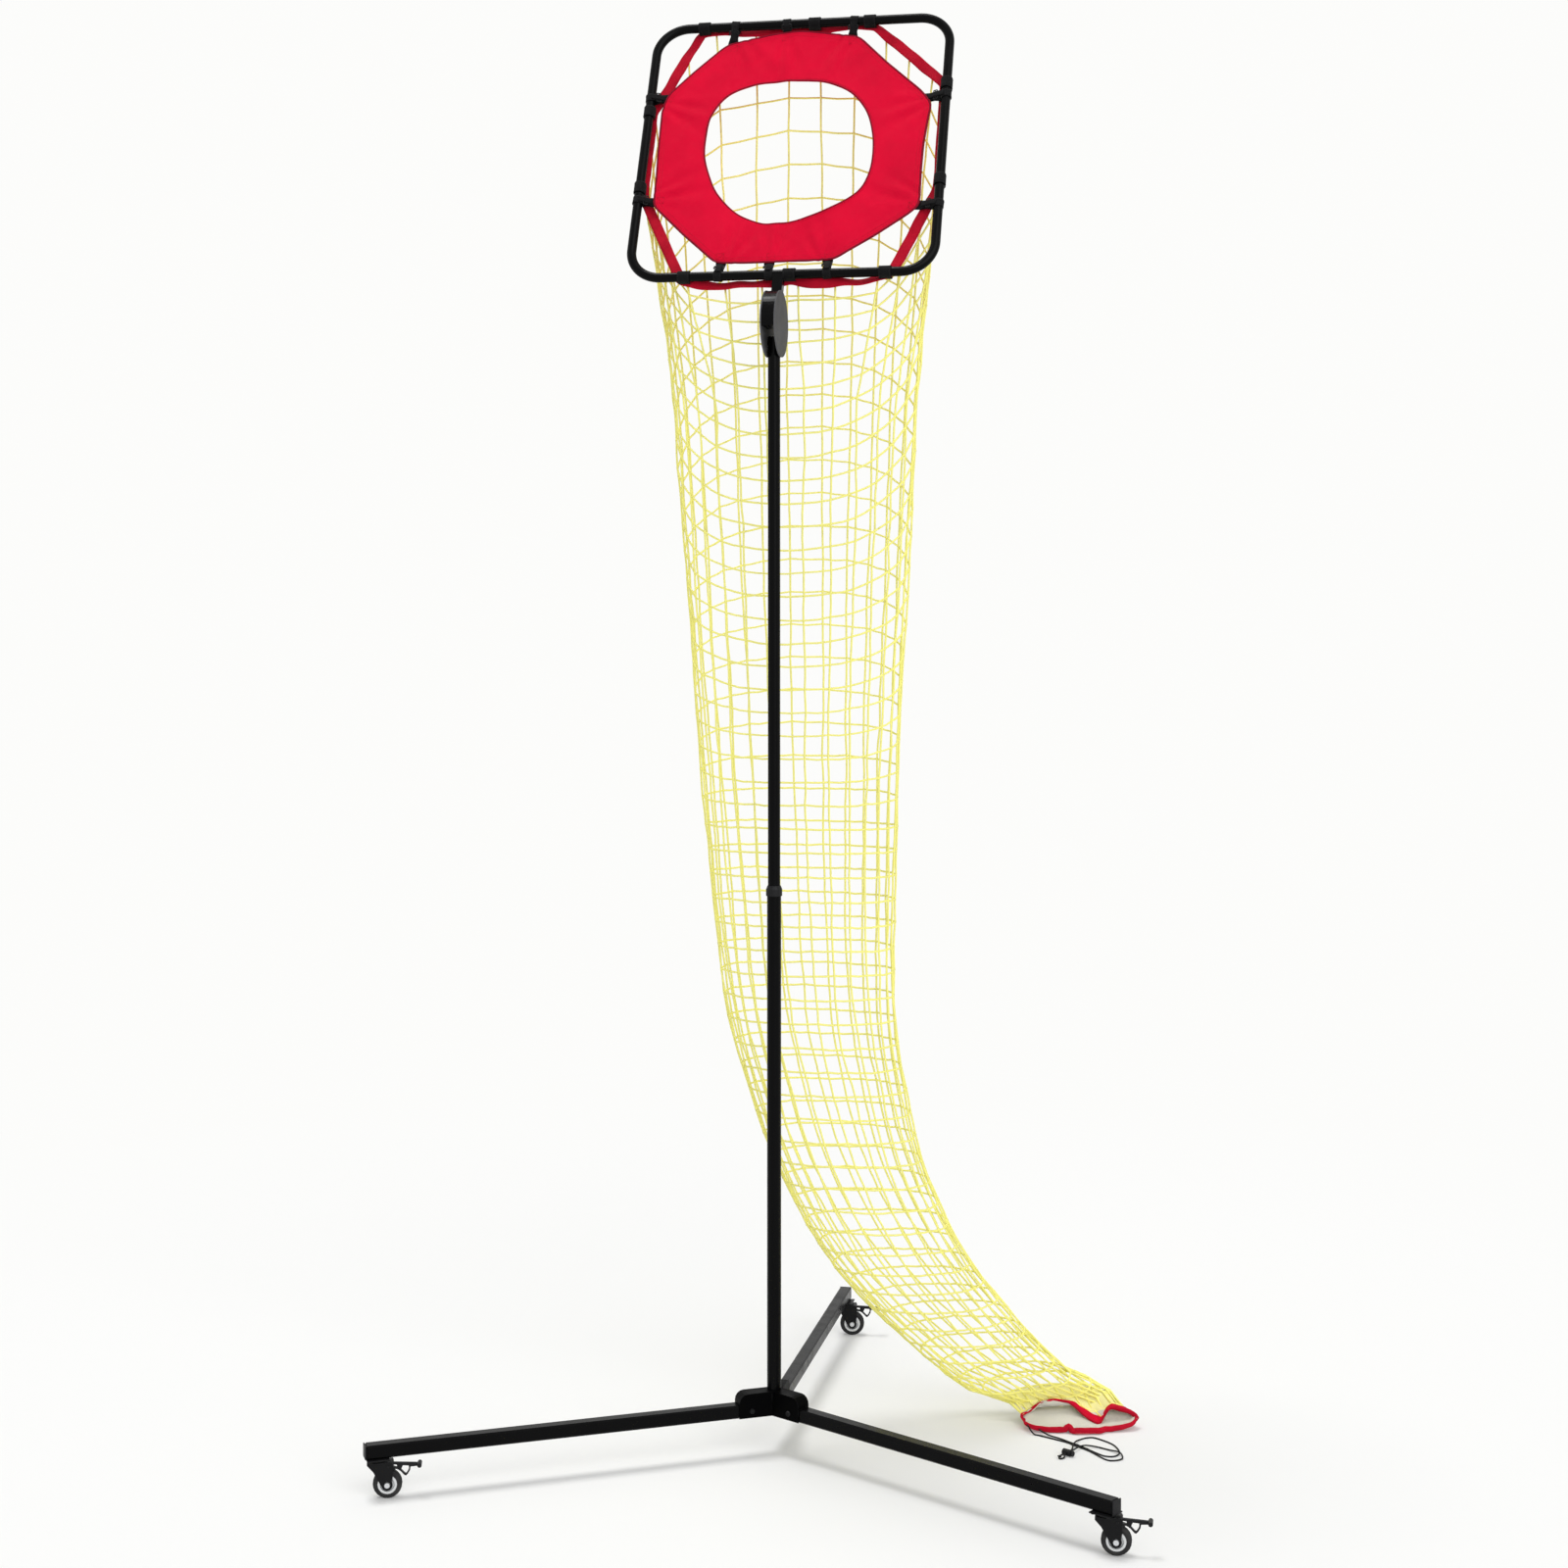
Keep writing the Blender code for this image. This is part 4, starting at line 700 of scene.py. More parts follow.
PANEL_EDGE = (
    (-0.183, 0.778), (-0.136, 0.790), (-0.065, 0.804), (-0.010, 0.810), (0.060, 0.800), (0.137, 0.786),
    (0.212, 0.704), (0.298, 0.621), (0.323, 0.584), (0.317, 0.536), (0.311, 0.470), (0.310, 0.401),
    (0.311, 0.304), (0.296, 0.291), (0.212, 0.226), (0.127, 0.167), (0.060, 0.162), (-0.003, 0.163),
    (-0.075, 0.162), (-0.153, 0.166), (-0.236, 0.244), (-0.317, 0.327), (-0.318, 0.400), (-0.322, 0.490),
    (-0.324, 0.595), (-0.314, 0.639), (-0.247, 0.712),
)
PANEL_HOLE = (
    (-0.207, 0.459), (-0.204, 0.568), (-0.169, 0.631), (-0.105, 0.659), (-0.022, 0.667), (0.073, 0.655),
    (0.135, 0.619), (0.174, 0.563), (0.191, 0.486), (0.190, 0.405), (0.171, 0.347), (0.112, 0.309),
    (0.045, 0.277), (-0.012, 0.268), (-0.070, 0.274), (-0.119, 0.302), (-0.172, 0.363),
)
PANEL_TURNS = 240
PANEL_THICK = 0.0022
PANEL_STITCH = 0.0014
THREAD_RADIUS = 0.00042


def outline_hits(points, start, way):
    """Distances from a start, along a direction, to where it crosses a closed outline."""
    found = []
    ends = np.array(points) - np.array(start)
    for p, q in zip(ends, np.roll(ends, -1, axis=0)):
        edge = q - p
        cross = way[0] * edge[1] - way[1] * edge[0]
        if abs(cross) < 1e-12:
            continue
        distance = (p[0] * edge[1] - p[1] * edge[0]) / cross
        share = (p[0] * way[1] - p[1] * way[0]) / cross
        if distance > 0 and -1e-9 <= share <= 1 + 1e-9:
            found.append(distance)
    return found


def polar_radius(points, turns, soft):
    """Distance from the hole's middle to a closed outline, at each turn."""
    ways = [(math.cos(a), math.sin(a)) for a in turns]
    return evened(np.array([max(outline_hits(points, HOLE_MIDDLE, way)) for way in ways]), soft)


def bar_spots(top, right, low, left):
    """Places on the four bars, as (u, v, turn of what is tied there)."""
    spots = [(u, BAR_HIGH, 0.0) for u in top] + [(BAR_HALF, v, -90.0) for v in right]
    return spots + [(u, BAR_LOW, 180.0) for u in low] + [(-BAR_HALF, v, 90.0) for v in left]


def at_bar(u, v, turn):
    return Matrix.Translation((u, v, 0.0)) @ Matrix.Rotation(math.radians(turn), 4, "Z")


def strap_gap(spot):
    """Distance from a bar's line to the panel's edge, where a strap crosses it."""
    x, y, turn = spot
    way = (math.sin(math.radians(turn)), -math.cos(math.radians(turn)))
    return min(outline_hits(PANEL_EDGE, (x, y), way))


STRAP_GAPS = [(spot, strap_gap(spot)) for spot in bar_spots(PANEL_TOP, PANEL_RIGHT, PANEL_LOW, PANEL_LEFT)]


def panel_lift(u, v, share):
    """How far the stretched cloth stands off its plane; share is 0 at the hole and 1 at the edge."""
    lift = 0.0040 * ripple(u * 9.0, v * 9.0, 4) + 0.0014 * ripple(u * 40.0, v * 40.0, 9)
    held = 1.0
    for (x, y, turn), gap in STRAP_GAPS:
        away = np.hypot(u - x, v - y)
        side = np.arctan2(v - y, u - x) - math.atan2(HOLE_MIDDLE[1] - y, HOLE_MIDDLE[0] - x)
        fold = np.cos(np.sin(side) * 16.0) * np.exp(-(np.sin(side) * 2.4) ** 2)
        lift = lift + 0.0034 * fold * np.exp(-((away - 0.06) / 0.085) ** 2)
        reach = gap + 0.012
        ex, ey = x + reach * math.sin(math.radians(turn)), y - reach * math.cos(math.radians(turn))
        held = held * (1.0 - np.exp(-((u - ex) ** 2 + (v - ey) ** 2) / 0.020 ** 2))
    lift = lift * np.clip(1.15 - 0.4 * share, 0.0, 1.0) + 0.0030 * (1.0 - share) ** 3 * np.sin(3.0 * u / 0.2)
    return lift * held


def build_panel():
    """The cloth, its binding and its stitches: round the hole, round the edge and at each strap."""
    turns = np.arange(PANEL_TURNS) * CIRCLE / PANEL_TURNS
    outer = polar_radius(PANEL_EDGE, turns, 2)
    inner = polar_radius(PANEL_HOLE, turns, 44)

    def at(share, extra=0.0):
        radius = inner + (outer - inner) * share + extra
        u = HOLE_MIDDLE[0] + radius * np.cos(turns)
        v = HOLE_MIDDLE[1] + radius * np.sin(turns)
        return np.stack([u, v, panel_lift(u, v, share)], axis=1)

    rows = [at(share) for share in np.linspace(0.0, 1.0, 34)]
    flat = np.array([[(p[0], p[1]) for p in np.vstack([row, row[:1]])] for row in rows])
    shape = Shape().grid(rows, True, uv=flat, flip=True)
    cloth = shape.piece("target_cloth", [RED_CLOTH], "head", "target_panel", "red_fabric")
    thicken(cloth, PANEL_THICK)

    trim = Shape()
    for share, extra, wide in ((0.0, 0.0022, 0.0024), (1.0, -0.0022, 0.0030)):
        line = at(share, extra)
        side = np.cross(ahead_round(line), UP)
        ring = oval_tube(line, side, wide, np.array(UP), 0.0020, 10)
        trim.grid(np.concatenate([ring, ring[:1]]), True, flip=True)
    binding = trim.piece("panel_binding", [MAROON], "head", "target_panel", "red_fabric", 1e-6)

    seams = Shape()
    for share, extra in ((0.0, 0.0072), (1.0, -0.0088), (1.0, -0.0150)):
        stitches(seams, at(share, extra), (UP, DOWN), 0.0036, 0.0015, PANEL_STITCH, closed=True)
    for spot, gap in STRAP_GAPS:
        place = at_bar(*spot)
        low, high, side = -gap - 0.0250, -gap - 0.0080, 0.0085
        box = [(-side, low), (side, low), (side, high), (-side, high), (-side, low), (side, high)]
        for (a, b), (c, d) in zip(box, box[1:]):
            run = [place @ Vector((a + (c - a) * t, b + (d - b) * t, 0.0)) for t in np.linspace(0, 1, 8)]
            stitches(seams, run, (UP, DOWN), 0.0026, 0.0011, PANEL_STITCH)
    thread = seams.piece("panel_stitches", [THREAD], "head", "target_panel", "red_fabric")


def stitches(shape, line, ways, long, gap, lift, dip=0.0006, closed=False, look=0):
    """Short threads along a line, proud of it along each of some directions, with their ends dipped."""
    line = np.asarray(line, float)
    ways = [np.broadcast_to(np.asarray(way, float), line.shape) for way in ways]
    if closed:
        line, *ways = (np.vstack([part, part[:1]]) for part in (line, *ways))
    run = run_of(line)
    count = int(run[-1] / (long + gap))
    proud = lift - np.array([[dip], [0.0], [dip]])
    for k in range(count):
        start = k * run[-1] / count
        spots = np.array([start, start + long * 0.5, start + long])
        for way in ways:
            shape.tube(along(line, run, spots) + along(way, run, spots) * proud, THREAD_RADIUS, 4, look=look)


# Straps from the panel to the bars, with widths where they are sewn down, at the waist and at the bar

BEHIND_PANEL = 0.027
STRAP_SEWN = 0.0245
STRAP_WAIST = 0.0150
STRAP_WIDE = 0.0195
STRAP_TILTS = (-5.0, 3.0, -4.0, 3.0, -3.0, -4.0, 5.0, 3.0, 4.0, -3.0)
SLIDE_HALF = (0.0102, 0.0032)
SLIDE_WIRE = 0.0013


def ribbon(shape, path, wide, thick, across=(1.0, 0.0, 0.0)):
    """A flat strap with rounded edges along a path."""
    path = np.asarray(path, float)
    ahead = unit(np.gradient(path, axis=0))
    across = np.broadcast_to(np.asarray(across, float), path.shape)
    across = unit(across - (across * ahead).sum(axis=1)[:, None] * ahead)
    up = np.cross(across, ahead)
    wide = np.broadcast_to(np.asarray(wide, float), (len(path),))
    section = [(-1, 0), (-0.96, 0.8), (-0.5, 1), (0, 1), (0.5, 1), (0.96, 0.8), (1, 0), (0.96, -0.8),
               (0.5, -1), (0, -1), (-0.5, -1), (-0.96, -0.8)]
    rows = np.array([[path[k] + across[k] * (x * wide[k] / 2) + up[k] * y * thick / 2 for x, y in section]
                     for k in range(len(path))])
    u = np.array([x for x, _ in section] + [-1]) * float(wide.mean()) / 2
    u = np.where(np.arange(13) > 6, -u + 0.05, u)
    uv = np.stack(np.broadcast_arrays(u[None, :], run_of(path)[:, None]), axis=2)
    shape.grid(rows, True, uv=uv, caps=True)


def sewn_bend(shape, path, side, radius, look):
    """Stitches over a strap's bend round a bar: every other step of its path, a little further out."""
    ring = [(side, y * 1.075, z * 1.075) for _, y, z in path]
    for a, b in zip(ring[::2], ring[1::2]):
        shape.tube([a, b], radius, 4, look=look)


def strap_path(gap):
    """Points and widths of a strap's two plies: from behind the panel, round the bar and back."""
    wrap = TUBE + 0.0010
    reach = gap - 0.0015
    plies = []
    for rest, sign in ((-0.0034, 1), (-0.0052, -1)):
        slope = math.atan2(rest, -reach) % CIRCLE
        touch = slope - sign * math.acos(wrap / math.hypot(reach, rest))
        end = (wrap * math.cos(touch), wrap * math.sin(touch))
        run = [(-gap - BEHIND_PANEL + 0.0085 * k, rest, STRAP_SEWN) for k in range(4)]
        for k in range(7):
            t = k / 7
            wide = np.interp(t, (0.0, 0.45, 1.0), (STRAP_SEWN, STRAP_WAIST, STRAP_WIDE))
            run.append((-reach + (end[0] + reach) * t, rest + (end[1] - rest) * t, wide))
        plies.append((run, touch))
    turns = np.linspace(plies[0][1], plies[1][1] - CIRCLE, 24)
    bow = [(wrap * math.cos(a), wrap * math.sin(a), STRAP_WIDE) for a in turns]
    whole = np.array(plies[0][0] + bow + plies[1][0][::-1])
    return np.column_stack([np.zeros(len(whole)), whole[:, :2]]), whole[:, 2]


def strap_mesh(gap):
    """A strap's loop with its slide buckle, loose tail and stitches."""
    path, wide = strap_path(gap)
    shape = Shape()
    ribbon(shape, path, wide, 0.0015)
    front = path[4:12]
    middle = max(-0.5 * (gap + 0.003), -0.024)

    def off(y, more):
        return float(np.interp(y, front[:, 1], front[:, 2])) + more

    half_x, half_y = SLIDE_HALF
    loop = rounded_loop(half_x, middle - half_y, middle + half_y, 0.0012, 4)
    shape.tube([(x, y, off(y, 0.0022)) for x, y in loop], SLIDE_WIRE, 8, closed=True, look=1)
    shape.tube([(x, middle, off(middle, 0.0030)) for x in (-half_x, half_x)], SLIDE_WIRE, 8, look=1)
    ends = sorted((-0.0045, -0.0110, middle + 0.001, -gap + 0.0035), reverse=True)
    tail = [(0.0, y, off(y, more)) for y, more in zip(ends, (0.0042, 0.0036, 0.0046, 0.0024))]
    ribbon(shape, smooth_path(tail, 12), 0.0135, 0.0013)
    for side in (-0.0070, 0.0070):
        sewn_bend(shape, path[12:34], side, 0.0004, 2)
    return shape.mesh("strap", [BLACK_WEB, PLASTIC, DARK_THREAD], 1e-6)


def build_straps():
    for number, (((u, v, turn), gap), tilt) in enumerate(zip(STRAP_GAPS, STRAP_TILTS), 1):
        piece("strap_%02d" % number, strap_mesh(gap), "head", place=HEAD @ at_bar(u, v, turn + tilt),
              stands_for=["panel_strap_%02d" % number])


# Red band of the net's mouth and its ties

BAND_WIDE = 0.025
BAND_BACK = -0.0146


def band_corners():
    half, high, low, gap = BAR_HALF - 0.006, BAR_HIGH - 0.006, BAR_LOW - 0.002, 0.010
    return [
        (min(NET_TOP) - gap, high), (max(NET_TOP) + gap, high), (half, max(NET_RIGHT) + gap),
        (half, min(NET_RIGHT) - gap), (max(NET_LOW) + gap, low), (min(NET_LOW) - gap, low),
        (-half, min(NET_LEFT) - gap), (-half, max(NET_LEFT) + gap),
    ]


def band_drop(u, v):
    """How far the band's line hangs toward -v between the low ties, or waves along the top bar."""
    if v < BAR_LOW + 0.004:
        ties = sorted(NET_LOW)
        for a, b in zip(ties, ties[1:]):
            if a < u < b:
                share = (u - a) / (b - a)
                return 0.017 * math.sin(math.pi * share) * (1.0 + 0.25 * math.sin(9.0 * share))
    return 0.003 * math.sin(40.0 * u) if v > BAR_HIGH - 0.010 else 0.0


def band_loop():
    """The band's line as dense points (u, v), smoothed at its corners."""
    corners = band_corners()
    dense = []
    for (a, b), (c, d) in zip(corners, corners[1:] + corners[:1]):
        steps = max(2, int(math.hypot(c - a, d - b) / 0.006))
        dense += [(a + (c - a) * t / steps, b + (d - b) * t / steps) for t in range(steps)]
    return evened(np.array([(u, v - band_drop(u, v)) for u, v in dense]), 4)


def band_frame():
    """The band's centre line, its direction across and the way ahead, in the head's frame."""
    line = band_loop()
    k = np.arange(len(line))
    depth = BAND_BACK + 0.0016 * np.sin(k * 0.23) + 0.0010 * np.sin(k * 0.61 + 1.0)
    path = np.column_stack([line, depth])
    ahead = ahead_round(path)
    twist = 0.22 * np.sin(k * 0.11 + 0.6) + 0.12 * np.sin(k * 0.37)
    low = line[:, 1] < BAR_LOW + 0.004
    twist = evened(np.where(low, twist + 0.35 * np.sin(line[:, 0] * 22.0), twist), 6)
    across = np.cross(ahead, UP) * np.cos(twist)[:, None] + np.array(UP) * np.sin(twist)[:, None]
    return path, across, ahead


BAND = band_frame()


def build_band():
    """The band, one ribbon all round, and the ties that hold it to the bars."""
    path, across, _ = BAND
    shape = Shape()
    ribbon(shape, np.vstack([path, path[:3]]), BAND_WIDE, 0.0017, np.vstack([across, across[:3]]))
    for side in (-1, 1):
        edge = path + across * side * (BAND_WIDE / 2 - 0.0030)
        stitches(shape, edge, (UP, DOWN), 0.0036, 0.0016, 0.0011, closed=True, look=1)
    shape.piece("net_band_ribbon", [RED_TAPE, THREAD], "head", "net_band", "red_fabric", 1e-6)

    tie = Shape()
    wrap = TUBE + 0.0012
    path = []
    for number, a in enumerate(np.linspace(math.radians(-116), math.radians(296), 44)):
        radius = wrap + 0.0060 * max(0.0, -math.sin(a)) ** 2 + 0.0016 * number / 43
        path.append((0.0, radius * math.cos(a), radius * math.sin(a)))
    ribbon(tie, path, 0.029, 0.0016)
    for side in (-0.0115, 0.0115):
        sewn_bend(tie, path[10:34], side, 0.00045, 1)
    mesh = tie.mesh("net_tie", [BLACK_WEB, DARK_THREAD], 1e-6)
    for number, spot in enumerate(bar_spots(NET_TOP, NET_RIGHT, NET_LOW, NET_LEFT), 1):
        piece("net_tie_%02d" % number, mesh, "head", place=HEAD @ at_bar(*spot), stands_for=["net_band"])


# Net chute

NET_COLUMNS = 28
TWINE = 0.0023
KNOT_HALF = 0.0026
# The level rows, then the spacing of the low ones, and the heights where the net's pieces meet
LEVEL_ROWS = 24
TOP_MEAN = 2.990
ROW_FALL = 0.0658
LOW_SPACING = 0.056
FOOT_AT = 0.10
SPLIT_AT = 2.10
FIRST_RING = 2.400
# The chute from the head down: centres, with heights as shares of the first ring's, and half-axes
CHUTE = (
    ((0.004, 0.222, 1.0), (0.288, 0.0, 0.0), (0.0, 0.122, 0.0)),
    ((0.010, 0.214, 0.81667), (0.260, 0.0, 0.0), (0.0, 0.116, 0.0)),
    ((0.018, 0.210, 0.625), (0.231, 0.0, 0.0), (0.0, 0.112, 0.0)),
    ((0.038, 0.213, 0.43333), (0.203, 0.004, 0.0), (-0.004, 0.110, 0.0)),
    ((0.077, 0.220, 0.3375), (0.185, 0.010, 0.0), (-0.010, 0.110, 0.0)),
    ((0.146, 0.234, 0.24167), (0.172, 0.016, 0.0), (-0.014, 0.108, 0.002)),
    ((0.275, 0.266, 0.145), (0.158, 0.022, 0.004), (-0.014, 0.100, 0.006)),
    ((0.489, 0.340, 0.04667), (0.130, 0.026, 0.006), (-0.004, 0.056, 0.020)),
    ((0.600, 0.364, 0.02583), (0.125, 0.029, 0.002), (0.000, 0.024, 0.026)),
)
NET_END = 0.981
CUFF_TUCK = 0.0070


def chute_station(t):
    """Centre and half-axes of the chute, from under the head at 0 to inside the cuff at 1."""
    centre, wide, deep = (Vector(v) for v in CUFF_BACK)
    last = (centre, wide * (1.0 - CUFF_TUCK / wide.length), deep * (1.0 - CUFF_TUCK / deep.length))
    rings = [((x, y, share * FIRST_RING), wide, deep) for (x, y, share), wide, deep in CHUTE] + [last]
    keys = len(CHUTE)
    place = min(t * keys, keys - 1e-6)
    k = int(place)
    near = [rings[max(0, min(j, keys))] for j in range(k - 1, k + 3)]
    return [cubic(*(Vector(ring[n]) for ring in near), place - k) for n in range(3)]


def band_point(angle):
    """A point just behind the band, where a ray from the head's middle meets it."""
    path, across, ahead = BAND
    rays = path[:, :2] - np.array((0.0, (BAR_LOW + BAR_HIGH) / 2))
    turns = np.mod(np.arctan2(rays[:, 1], rays[:, 0]), CIRCLE)
    order = np.argsort(turns)
    back = np.cross(across, ahead)
    back *= -np.sign(back[:, 2])[:, None]
    spot, away = (Vector([np.interp(angle % CIRCLE, turns[order], rows[order, i], period=CIRCLE)
                          for i in range(3)]) for rows in (path, back))
    return HEAD @ (spot + away * 0.0036)


# The part of the mouth's edge that is drawn back on top, from its right end to its left
CUFF_HALF = 84
CUFF_RIM = (
    (0.799, 0.311, 0.0225), (0.8005, 0.320, 0.0240), (0.788, 0.322, 0.0335), (0.763, 0.321, 0.0403),
    (0.7494, 0.320, 0.0430), (0.7357, 0.318, 0.0410), (0.7215, 0.310, 0.0235), (0.7150, 0.303, 0.0110),
    (0.7050, 0.302, 0.0120), (0.6855, 0.307, 0.0200), (0.6625, 0.314, 0.0355), (0.6441, 0.320, 0.0475),
    (0.6303, 0.322, 0.0492), (0.6165, 0.322, 0.0502), (0.5958, 0.322, 0.0484), (0.5773, 0.322, 0.0445),
    (0.5612, 0.321, 0.0331), (0.5530, 0.317, 0.0238), (0.5390, 0.305, 0.0200), (0.5370, 0.280, 0.0210),
    (0.5470, 0.251, 0.0225),
)


def soften(line, times):
    """An open row of numbers, each but the ends moved toward its neighbours some times."""
    line = np.array(line, float)
    for _ in range(times):
        line[1:-1] = 0.25 * line[:-2] + 0.5 * line[1:-1] + 0.25 * line[2:]
    return line


def half_ring(station, first, last, inset=0.0):
    """Equal steps along half of an oval, from one angle to another."""
    centre, wide, deep = (Vector(v) for v in station)
    station = centre, wide * (1.0 - inset / wide.length), deep * (1.0 - inset / deep.length)
    return smooth_path([ring_point(station, a)[:] for a in np.linspace(first, last, 60)], CUFF_HALF + 1)


def left_share(line):
    """1 along the rim's left end, fading to 0 toward its top and its front."""
    far = np.clip((POLE.x + 0.590 - line[:, 0]) / 0.025, 0.0, 1.0)
    back = np.clip((line[:, 1] - POLE.y - 0.262) / 0.035, 0.0, 1.0)
    return eased(far) * eased(back)


def mouth_ring():
    """The mouth's edge: the rim that is drawn back on top, then the lip that lies in front."""
    rim = smooth_path([POLE + Vector(p) for p in CUFF_RIM], CUFF_HALF + 1)
    rim += left_share(rim)[:, None] * np.array((0.0020, -0.0200, 0.0067))
    lip = half_ring(CUFF_MOUTH, math.pi, CIRCLE)
    x = lip[:, 0] - POLE.x
    window = 1.0 / (1.0 + np.exp(-(x - 0.655) / 0.0028)) / (1.0 + np.exp((x - 0.727) / 0.0022))
    lip[:, 1] -= 0.0110 * window
    lip[:, 2] -= 0.0020 * window
    lip[:, 2] += 0.0110 * np.exp(-((x - 0.6480) / 0.0065) ** 2)
    return rim, lip


def back_ring():
    """The gathered end round the net: its top follows the rim down where the cuff is pinched."""
    rim, _ = mouth_ring()
    top = half_ring(CUFF_BACK, 0.0, math.pi)
    cap = np.interp(-top[:, 0], -rim[:, 0], rim[:, 2] + 0.0100 - 0.0060 * left_share(rim))
    top[:, 2] = soften(np.minimum(top[:, 2], cap), 4)
    return top, half_ring(CUFF_BACK, math.pi, CIRCLE)


BACK_TOP = back_ring()[0]


def pinched(points, t, under):
    """Points of the chute's upper half, lowered under the cuff's gathered end as t nears 1."""
    ease = eased(min(1.0, max(0.0, (t - 0.88) / 0.12)))
    cap = np.interp(-points[:, 0], -BACK_TOP[:, 0], BACK_TOP[:, 2]) - under
    lowered = points.copy()
    lowered[:, 2] += ease * np.minimum(0.0, cap - points[:, 2])
    return lowered


def column_line(angle):
    """A column's points from the band to the cuff, and their stations, negative above the chute."""
    top = band_point(angle)
    first = ring_point(chute_station(0.0), angle)
    stations = np.linspace(0.0, 1.0, 260)
    points = [top.lerp(first, k / 16) for k in range(16)]
    points += [ring_point(chute_station(t), angle) for t in stations]
    return np.array([p[:] for p in points]), np.concatenate([np.arange(16) / 16 - 1.0, stations])


def low_stations():
    """Stations of the rows below the level ones, evenly spaced along the centre line."""
    runs = np.linspace(0.0, 1.0, 400)
    centres = np.array([chute_station(t)[0][:] for t in runs])
    length = run_of(centres)
    start = np.interp(-(TOP_MEAN - LEVEL_ROWS * ROW_FALL), -centres[:, 2], length)
    count = int(round((length[-1] - start) / LOW_SPACING))
    wanted = np.linspace(start, np.interp(NET_END, runs, length), count + 1)[1:]
    return np.interp(wanted, length, runs)


def net_nodes():
    """Crossings of the net, rows by columns."""
    stations = low_stations()
    rng = np.random.default_rng(12)
    columns = []
    for column in range(NET_COLUMNS):
        angle = CIRCLE * (column + 0.5) / NET_COLUMNS
        points, runs = column_line(angle)
        made = []
        for k in range(LEVEL_ROWS + 1):
            near = math.exp(-k / 2.5)
            rise = near * (points[0, 2] - TOP_MEAN) + (1.0 - near) * 0.30 * math.sin(angle)
            z = TOP_MEAN - ROW_FALL * k + (1.0 - k / LEVEL_ROWS) * rise
            made.append(along(points, -points[:, 2], -z))
        for t in stations:
            spot = along(points, runs, t)
            made.append(pinched(spot[None, :], t, 0.0030)[0] if math.sin(angle) > 0 else spot)
        columns.append(made)
    nodes = np.array(columns).transpose(1, 0, 2)
    k = np.arange(len(nodes))
    ease = np.clip(np.minimum(k, len(nodes) - 1 - k) / 3.0, 0.0, 1.0)
    nodes = nodes + rng.normal(0.0, 0.0010, nodes.shape) * ease[:, None, None]
    wander = np.sin(k[:, None] * 0.55 + np.arange(NET_COLUMNS) * 1.7)
    nodes[:, :, 0] += 0.0015 * wander * ease[:, None]
    return nodes


def cut_line(points):
    """The runs of a line between the heights where the net's pieces meet."""
    runs = []
    now = [points[0]]
    for p, q in zip(points, points[1:]):
        for height in (FOOT_AT, SPLIT_AT):
            if (p[2] - height) * (q[2] - height) < 0:
                middle = p + (q - p) * (height - p[2]) / (q[2] - p[2])
                runs.append(now + [middle])
                now = [middle]
        now.append(q)
    runs.append(now)
    return [np.array(run) for run in runs if len(run) > 1]


def build_net():
    """The net's strands and knots as three pieces: its foot, its middle and its top."""
    nodes = net_nodes()
    rng = np.random.default_rng(5)
    foot, lower, upper = Shape(), Shape(), Shape()

    def share_of(height):
        return upper if height > SPLIT_AT else lower if height > FOOT_AT else foot

    def strand(points, closed=False):
        points = np.asarray(points)
        if closed and share_of(points[:, 2].min()) is share_of(points[:, 2].max()):
            share_of(points[0, 2]).tube(points, TWINE, 6, closed=True)
            return
        if closed:
            points = np.vstack([points, points[:1]])
        for run in cut_line(points):
            share_of(run[:, 2].mean()).tube(run, TWINE, 6)

    for column in nodes.transpose(1, 0, 2):
        line = []
        for p, q in zip(column, column[1:]):
            line += [p, (p + q) / 2 + rng.normal(0.0, 0.0005, 3)]
        strand(line + [column[-1]])
    strand([band_point(CIRCLE * (i / 8 + 0.5) / NET_COLUMNS)[:] for i in range(8 * NET_COLUMNS)], True)
    for row in nodes[1:]:
        line = []
        for p, q in zip(row, np.roll(row, -1, axis=0)):
            wide = float(np.linalg.norm(q - p))
            drop = np.array((0.0, 0.0, -0.0016 * min(1.0, wide / 0.05) * rng.uniform(0.4, 1.4)))
            line += [p, (p + q) / 2 + drop + rng.normal(0.0, 0.0003, 3)]
        strand(line, True)
    for spot in nodes[:-1].reshape(-1, 3):
        way = rng.normal(0.0, 1.0, 3)
        way = way / np.linalg.norm(way) * KNOT_HALF
        knot = [spot - way, spot - way * 0.6, spot + way * 0.6, spot + way]
        share_of(spot[2]).tube(knot, np.array([0.0010, 0.0030, 0.0030, 0.0010]), 5)

    lashing = []
    tilt = np.array(HEAD.to_3x3())
    for step in range(NET_COLUMNS * 12):
        turn = CIRCLE * step / 6
        off = tilt @ np.array((0.0, 0.0026 * math.sin(turn), 0.0018 * math.cos(turn)))
        lashing.append(np.array(band_point(CIRCLE * (step / 12 + 0.5) / NET_COLUMNS)) + off)
    upper.tube(lashing, 0.0011, 5, closed=True)

    top = upper.piece("net_upper", [LEMON], None, "net_chute", "net_cord", 1e-7)
    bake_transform(top)
    middle = lower.piece("net_lower", [LEMON], "base", "net_chute", "net_cord", 1e-7)
    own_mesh(middle)
    foot.piece("net_foot", [LEMON], "base", "net_chute", "net_cord", 1e-7)


# Cuff, with the faces of its lining that show through the net at the pinch

LINING_IN = 0.0038
PINCH_ROWS = range(5)
PINCH_COLUMNS = range(140, 156)


def joined(halves):
    """A closed ring from two half rings that share their ends."""
    return np.vstack([halves[0][:-1], halves[1][:-1]])


